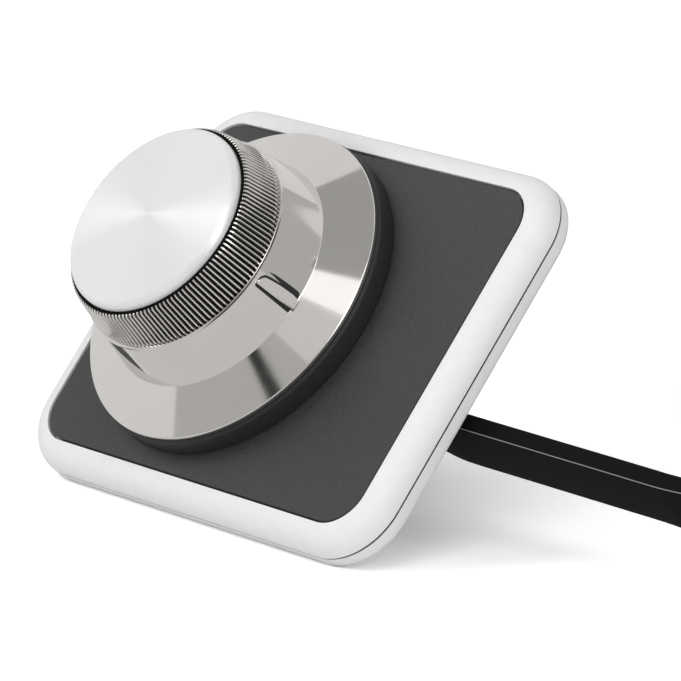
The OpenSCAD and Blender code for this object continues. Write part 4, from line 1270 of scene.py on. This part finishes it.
class BASSKNOB_OT_grip(bpy.types.Operator):
    """Cut one flute of the grip and spin it round"""

    bl_idname = "bassknob.grip"
    bl_label = "Grip"

    # One flute, as shares of its pitch and of its depth: a narrow crest, then a rounded groove
    FLUTE = (
        (0, 0), (0.15, 0), (0.3, 0), (0.36, 0.5), (0.42, 0.94), (0.65, 1), (0.88, 0.94), (0.94, 0.5), (1, 0),
    )
    # Share of the grip's height, and the section's scale there: small chamfers at both ends
    ROWS = ((0, 0.985), (0.04, 1), (0.5, 1), (0.92, 1), (0.98, 0.992), (1, 0.975))

    def execute(self, context):
        knob = context.scene.bass_knob_knob
        step = WHOLE_TURN / knob.flutes
        outer, high = GRIP_HIGH.x, GRIP_HIGH.z - GRIP_LOW.z
        section = []
        for share, depth in self.FLUTE:
            r = outer - depth * knob.flute_depth
            section.append((r * math.cos(step * share), r * math.sin(step * share), GRIP_LOW.z))
        piece = drawn("fluted_grip", section)
        taper = knob.grip_top / outer - 1
        at, now = 0, 1
        for share, scale in self.ROWS:
            goal = scale * (1 + taper * share)
            if share:
                extrude(0, 0, (share - at) * high)
            bpy.ops.transform.resize(value=(goal / now, goal / now, 1), center_override=ORIGIN)
            at, now = share, goal
        # Over the top to the bore, and down it to just above the foot
        foot_gap = 0.15 * MM
        for down in (0, foot_gap - high):
            extrude(0, 0, down)
            mesh = bmesh.from_edit_mesh(piece.data)
            for v in mesh.verts:
                if v.select:
                    v.co.xy = v.co.xy.normalized() * knob.grip_bore
            bmesh.update_edit_mesh(piece.data)
        select_all()
        bpy.ops.mesh.spin(steps=knob.flutes, angle=WHOLE_TURN, center=ORIGIN, axis=UP, dupli=True)
        select_all()
        bpy.ops.mesh.remove_doubles(threshold=WELD)
        select("EDGE", lambda e: len(e.link_faces) == 1)
        bpy.ops.mesh.bridge_edge_loops()
        complete(piece, ON_KNOB, "knob", "chrome", fluted_plate(), "grip_ring", smooth=35)
        return {"FINISHED"}


class BASSKNOB_OT_cap(bpy.types.Operator):
    """Turn the cap with its rounded rim and low crown, and the black ring round it, partly painted shade"""

    bl_idname = "bassknob.cap"
    bl_label = "Cap"

    def execute(self, context):
        knob = context.scene.bass_knob_knob
        outer, low = CAP_HIGH.x, CAP_LOW.z
        rim = CAP_HIGH.z - knob.cap_crown
        flat = outer - knob.cap_edge
        rings = 24
        outline = [(0, low), (outer, low)]
        for k in range(EDGE_STEPS + 1):
            a = math.pi / 2 * k / EDGE_STEPS
            outline.append((flat + knob.cap_edge * math.cos(a), rim - knob.cap_edge * (1 - math.sin(a))))
        for k in range(1, rings + 1):
            s = 1 - k / rings
            outline.append((s * flat, rim + knob.cap_crown * (1 - s * s)))
        piece = turned("turned_cap", outline)
        # The turning map: round the cap along u, out from its middle along v
        bpy.ops.object.mode_set(mode="OBJECT")
        layer = piece.data.uv_layers.new(name="Turning")
        for face in piece.data.polygons:
            around = math.atan2(face.center.y, face.center.x)
            for loop in face.loop_indices:
                v = piece.data.vertices[piece.data.loops[loop].vertex_index].co
                a = math.atan2(v.y, v.x) if v.xy.length > WELD else around
                a = around + (a - around + math.pi) % WHOLE_TURN - math.pi
                layer.data[loop].uv = (a / WHOLE_TURN, v.xy.length / outer)
        complete(piece, ON_KNOB, "knob", "turned_aluminium", turned_aluminium(), "cap_disc")
        self.shadow_ring(knob, outer)
        return {"FINISHED"}

    def shadow_ring(self, knob, cap_radius):
        """A black ring that fills the gap between cap and grip and laps over the grip's edge: partly the
        black core that shows in the gap, partly painted shade of that gap.
        """
        play, seat_play, rounding = 0.02 * MM, 0.005 * MM, 0.02 * MM
        inner, bore = cap_radius + play, knob.grip_bore - play
        low, seat, high = CAP_LOW.z + MM, GRIP_HIGH.z + seat_play, GRIP_HIGH.z + knob.shadow_ring_rise
        stem = ((inner, low, 0), (bore, low, 0), (bore, seat, 0))
        lip = ((knob.shadow_ring_lip, seat, 0), (knob.shadow_ring_lip, high, rounding), (inner, high, 0))
        ring = turned_ring("cap_shadow_ring", stem + lip)
        complete(ring, ON_KNOB, "knob", "rubber", shadow_black())


# Solids that stay


class BASSKNOB_OT_inner_parts(bpy.types.Operator):
    """Finish the solids inside the knob and the housing"""

    bl_idname = "bassknob.inner_parts"
    bl_label = "Inner parts"

    def execute(self, context):
        kinds = {
            adhesive_sheet(): ("panel_tape",),
            moulded_black(): ("knob_core", "board_chips"),
            zinc_steel(): (
                "board_screws", "pot_case", "pot_terminals", "pot_washer", "pot_nut", "knob_screws",
            ),
            black_steel(): ("pot_shaft", "shaft_clip", "hub_clip"),
            machined_brass(): ("board_standoffs", "pot_bushing"),
            cable_sheath(): ("inner_lead",),
            tie_nylon(): ("board_connector",),
            circuit_laminate(): ("circuit_board",),
            phenolic_wafer(): ("pot_track", "pot_wiper"),
            gold_plate(): ("plug_contacts",),
        }
        for finish, nodes in kinds.items():
            for node in nodes:
                materials = frame["nodes"][node].data.materials
                materials.clear()
                materials.append(finish)
        return {"FINISHED"}


# Studio


def toward(azimuth, elevation):
    """The direction at an azimuth to the right of straight ahead and an elevation."""
    level = math.cos(elevation)
    return Vector((math.sin(azimuth) * level, -math.cos(azimuth) * level, math.sin(elevation)))


class BASSKNOB_OT_stage(bpy.types.Operator):
    """Lay the pale floor and set the studio's light"""

    bl_idname = "bassknob.stage"
    bl_label = "Stage"

    # In metres: the floor's side, and how far lamps and most cards stand from what the camera looks at
    FLOOR_SIDE, REACH = 8, 0.9

    def execute(self, context):
        setup = context.scene.bass_knob_studio
        context.scene.view_settings.view_transform = "Standard"
        self.floor(setup.floor_print)
        self.room(setup.room)
        self.softbox("left_softbox", -40, 48, 0.4, 0.3, setup.left_power, mirrored=False)
        self.softbox("front_softbox", 15, 6, 0.6, 0.15, setup.front_power, mirrored=False)
        self.softbox("right_softbox", 40, 58, 0.5, 0.4, setup.right_power)
        self.softbox("side_softbox", 82, 24, 0.5, 0.5, setup.side_power)
        self.flag("front_flag", -37, 60, 0, 0.72, 0.52)
        self.flag("front_card", -37, 4, 0.72, 1.15, 0.72)
        self.flag("band_card", -24, 10, 1.2, 1.75, 1.3)
        self.flag("stand", -10.2, -7.4, 0.36, 0.62, 0.01, 0.85)
        self.flag("fan_card", -48, -30, 1.1, 1.7, 4)
        self.flag("left_flag", -92, -37, 0, 0.6, 0.8)
        self.flag("back_flag", 104, 188, 0, 0.52, 0.52)
        self.sheet("ceiling_flag", (0.8, 0.65, 1), (-0.1, -0.125, 0.92), 0.42)
        self.sheet("floor_flag", (2, 2, 1), (0, 0, 0.4 * MM), 0.68)
        return {"FINISHED"}

    def flag(self, name, start, end, low, high, glow, reach=REACH):
        """A curved grey card round the object, from one azimuth to another in degrees."""
        middle = LOOK_AT.xy.to_3d()
        foot = middle + toward(math.radians(start), 0) * reach
        card = drawn(name, [(*foot.xy, low), (*foot.xy, high)])
        bpy.ops.mesh.spin(steps=24, angle=math.radians(start - end), center=middle, axis=UP)
        self.as_card(card, glow)

    def sheet(self, name, sides, middle, glow):
        """A level grey card."""
        card = begin(name, bpy.ops.mesh.primitive_plane_add, size=1)
        bpy.ops.transform.resize(value=sides)
        bpy.ops.transform.translate(value=middle)
        self.as_card(card, glow)

    def as_card(self, card, glow):
        """Gives a card its even tone and hides it from all but polished metal."""
        bpy.ops.object.mode_set(mode="OBJECT")
        finish, tree = blank("Grey card")
        tone = add(tree, "Emission", {"Strength": glow})
        add(tree, "OutputMaterial", {"Surface": tone})
        card.data.materials.append(finish)
        for ray in ("camera", "diffuse", "shadow", "transmission"):
            setattr(card, "visible_" + ray, False)

    def seen(self, tree):
        """1 where the camera, a mirror or glass looks, 0 for the light that falls on things."""
        path = add(tree, "LightPath").outputs
        first = {0: path["Is Camera Ray"], 1: path["Is Glossy Ray"]}
        both = {0: add(tree, "Math", first, operation="ADD"), 1: path["Is Transmission Ray"]}
        return add(tree, "Math", both, operation="ADD", use_clamp=True)

    def floor(self, brightness):
        """A large pale floor that shows as white and keeps the object's shadow."""
        clear_selection()
        bpy.ops.mesh.primitive_plane_add(size=self.FLOOR_SIDE)
        floor = bpy.context.object
        floor.name = "studio_floor"
        finish, tree = blank("White paper floor")
        place = add(tree, "TexCoord").outputs["Object"]
        # Paper fibres, clumped about 2 mm apart
        fibre = add(tree, "TexNoise", {"Vector": place, "Scale": 1 / (2 * MM), "Detail": 3})
        look = {
            "Base Color": (*linear("#EDEDED"), 1),
            "Roughness": add(tree, "MapRange", {"Value": fibre, "To Min": 0.75, "To Max": 0.85}),
            "Specular IOR Level": 0.1,
        }
        paper = add(tree, "BsdfPrincipled", look)
        # As the photograph prints it: full light clips to white, and only the object's shadow is left
        printed = add(tree, "BsdfDiffuse", {"Color": (brightness, brightness, brightness, 1)})
        both = add(tree, "MixShader", {0: self.seen(tree), 1: paper, 2: printed})
        add(tree, "OutputMaterial", {"Surface": both})
        floor.data.materials.append(finish)

    def room(self, strength):
        """Even light from all round, which shows as white."""
        world = bpy.data.worlds.new("White studio")
        bpy.context.scene.world = world
        world.use_nodes = True
        tree = world.node_tree
        tree.nodes.clear()
        level = add(tree, "MapRange", {"Value": self.seen(tree), "To Min": strength, "To Max": 1})
        sky = add(tree, "Background", {"Strength": level})
        add(tree, "OutputWorld", {"Surface": sky})

    def softbox(self, name, azimuth, elevation, width, height, power, mirrored=True):
        """A softbox that faces the object, and shows in its gloss or not."""
        way = toward(math.radians(azimuth), math.radians(elevation))
        clear_selection()
        bpy.ops.object.light_add(type="AREA", location=LOOK_AT + way * self.REACH)
        lamp = bpy.context.object
        lamp.name = name
        lamp.rotation_euler = (-way).to_track_quat("-Z", "Y").to_euler()
        lamp.data.shape = "RECTANGLE"
        lamp.data.size, lamp.data.size_y = width, height
        lamp.data.energy = power
        lamp.visible_glossy = mirrored


class BASSKNOB_PT_pieces(bpy.types.Panel):
    """The pieces of the remote bass knob, in the order in which they are made"""

    bl_label = "Bass Knob"
    bl_idname = "BASSKNOB_PT_pieces"
    bl_space_type = "VIEW_3D"
    bl_region_type = "UI"
    bl_category = "Bass Knob"

    def draw(self, context):
        for step in STEPS:
            self.layout.operator(step.bl_idname)
        for group in GROUPS:
            owner = getattr(context.scene, group)
            box = self.layout.box()
            for key in owner.__annotations__:
                box.prop(owner, key)


GROUPS = {
    "bass_knob_plate": PlateShape,
    "bass_knob_knob": KnobShape,
    "bass_knob_cable": CableShape,
    "bass_knob_finishes": Finishes,
    "bass_knob_studio": StudioSetup,
}
STEPS = (
    BASSKNOB_OT_camera,
    BASSKNOB_OT_coil_tie,
    BASSKNOB_OT_plug,
    BASSKNOB_OT_cable,
    BASSKNOB_OT_front_frame,
    BASSKNOB_OT_front_panel,
    BASSKNOB_OT_rear_cover,
    BASSKNOB_OT_rear_housing,
    BASSKNOB_OT_strain_relief,
    BASSKNOB_OT_rear_screws,
    BASSKNOB_OT_base_ring,
    BASSKNOB_OT_knob_shell,
    BASSKNOB_OT_grip,
    BASSKNOB_OT_cap,
    BASSKNOB_OT_inner_parts,
    BASSKNOB_OT_stage,
)


def register():
    for kind in (*GROUPS.values(), *STEPS, BASSKNOB_PT_pieces):
        bpy.utils.register_class(kind)
    for name, kind in GROUPS.items():
        setattr(bpy.types.Scene, name, bpy.props.PointerProperty(type=kind))


def unregister():
    for name in GROUPS:
        delattr(bpy.types.Scene, name)
    for kind in reversed((*GROUPS.values(), *STEPS, BASSKNOB_PT_pieces)):
        bpy.utils.unregister_class(kind)


def main():
    register()
    for step in STEPS:
        family, name = step.bl_idname.split(".")
        getattr(getattr(bpy.ops, family), name)()
    clear_selection()


if __name__ == "__main__":
    main()
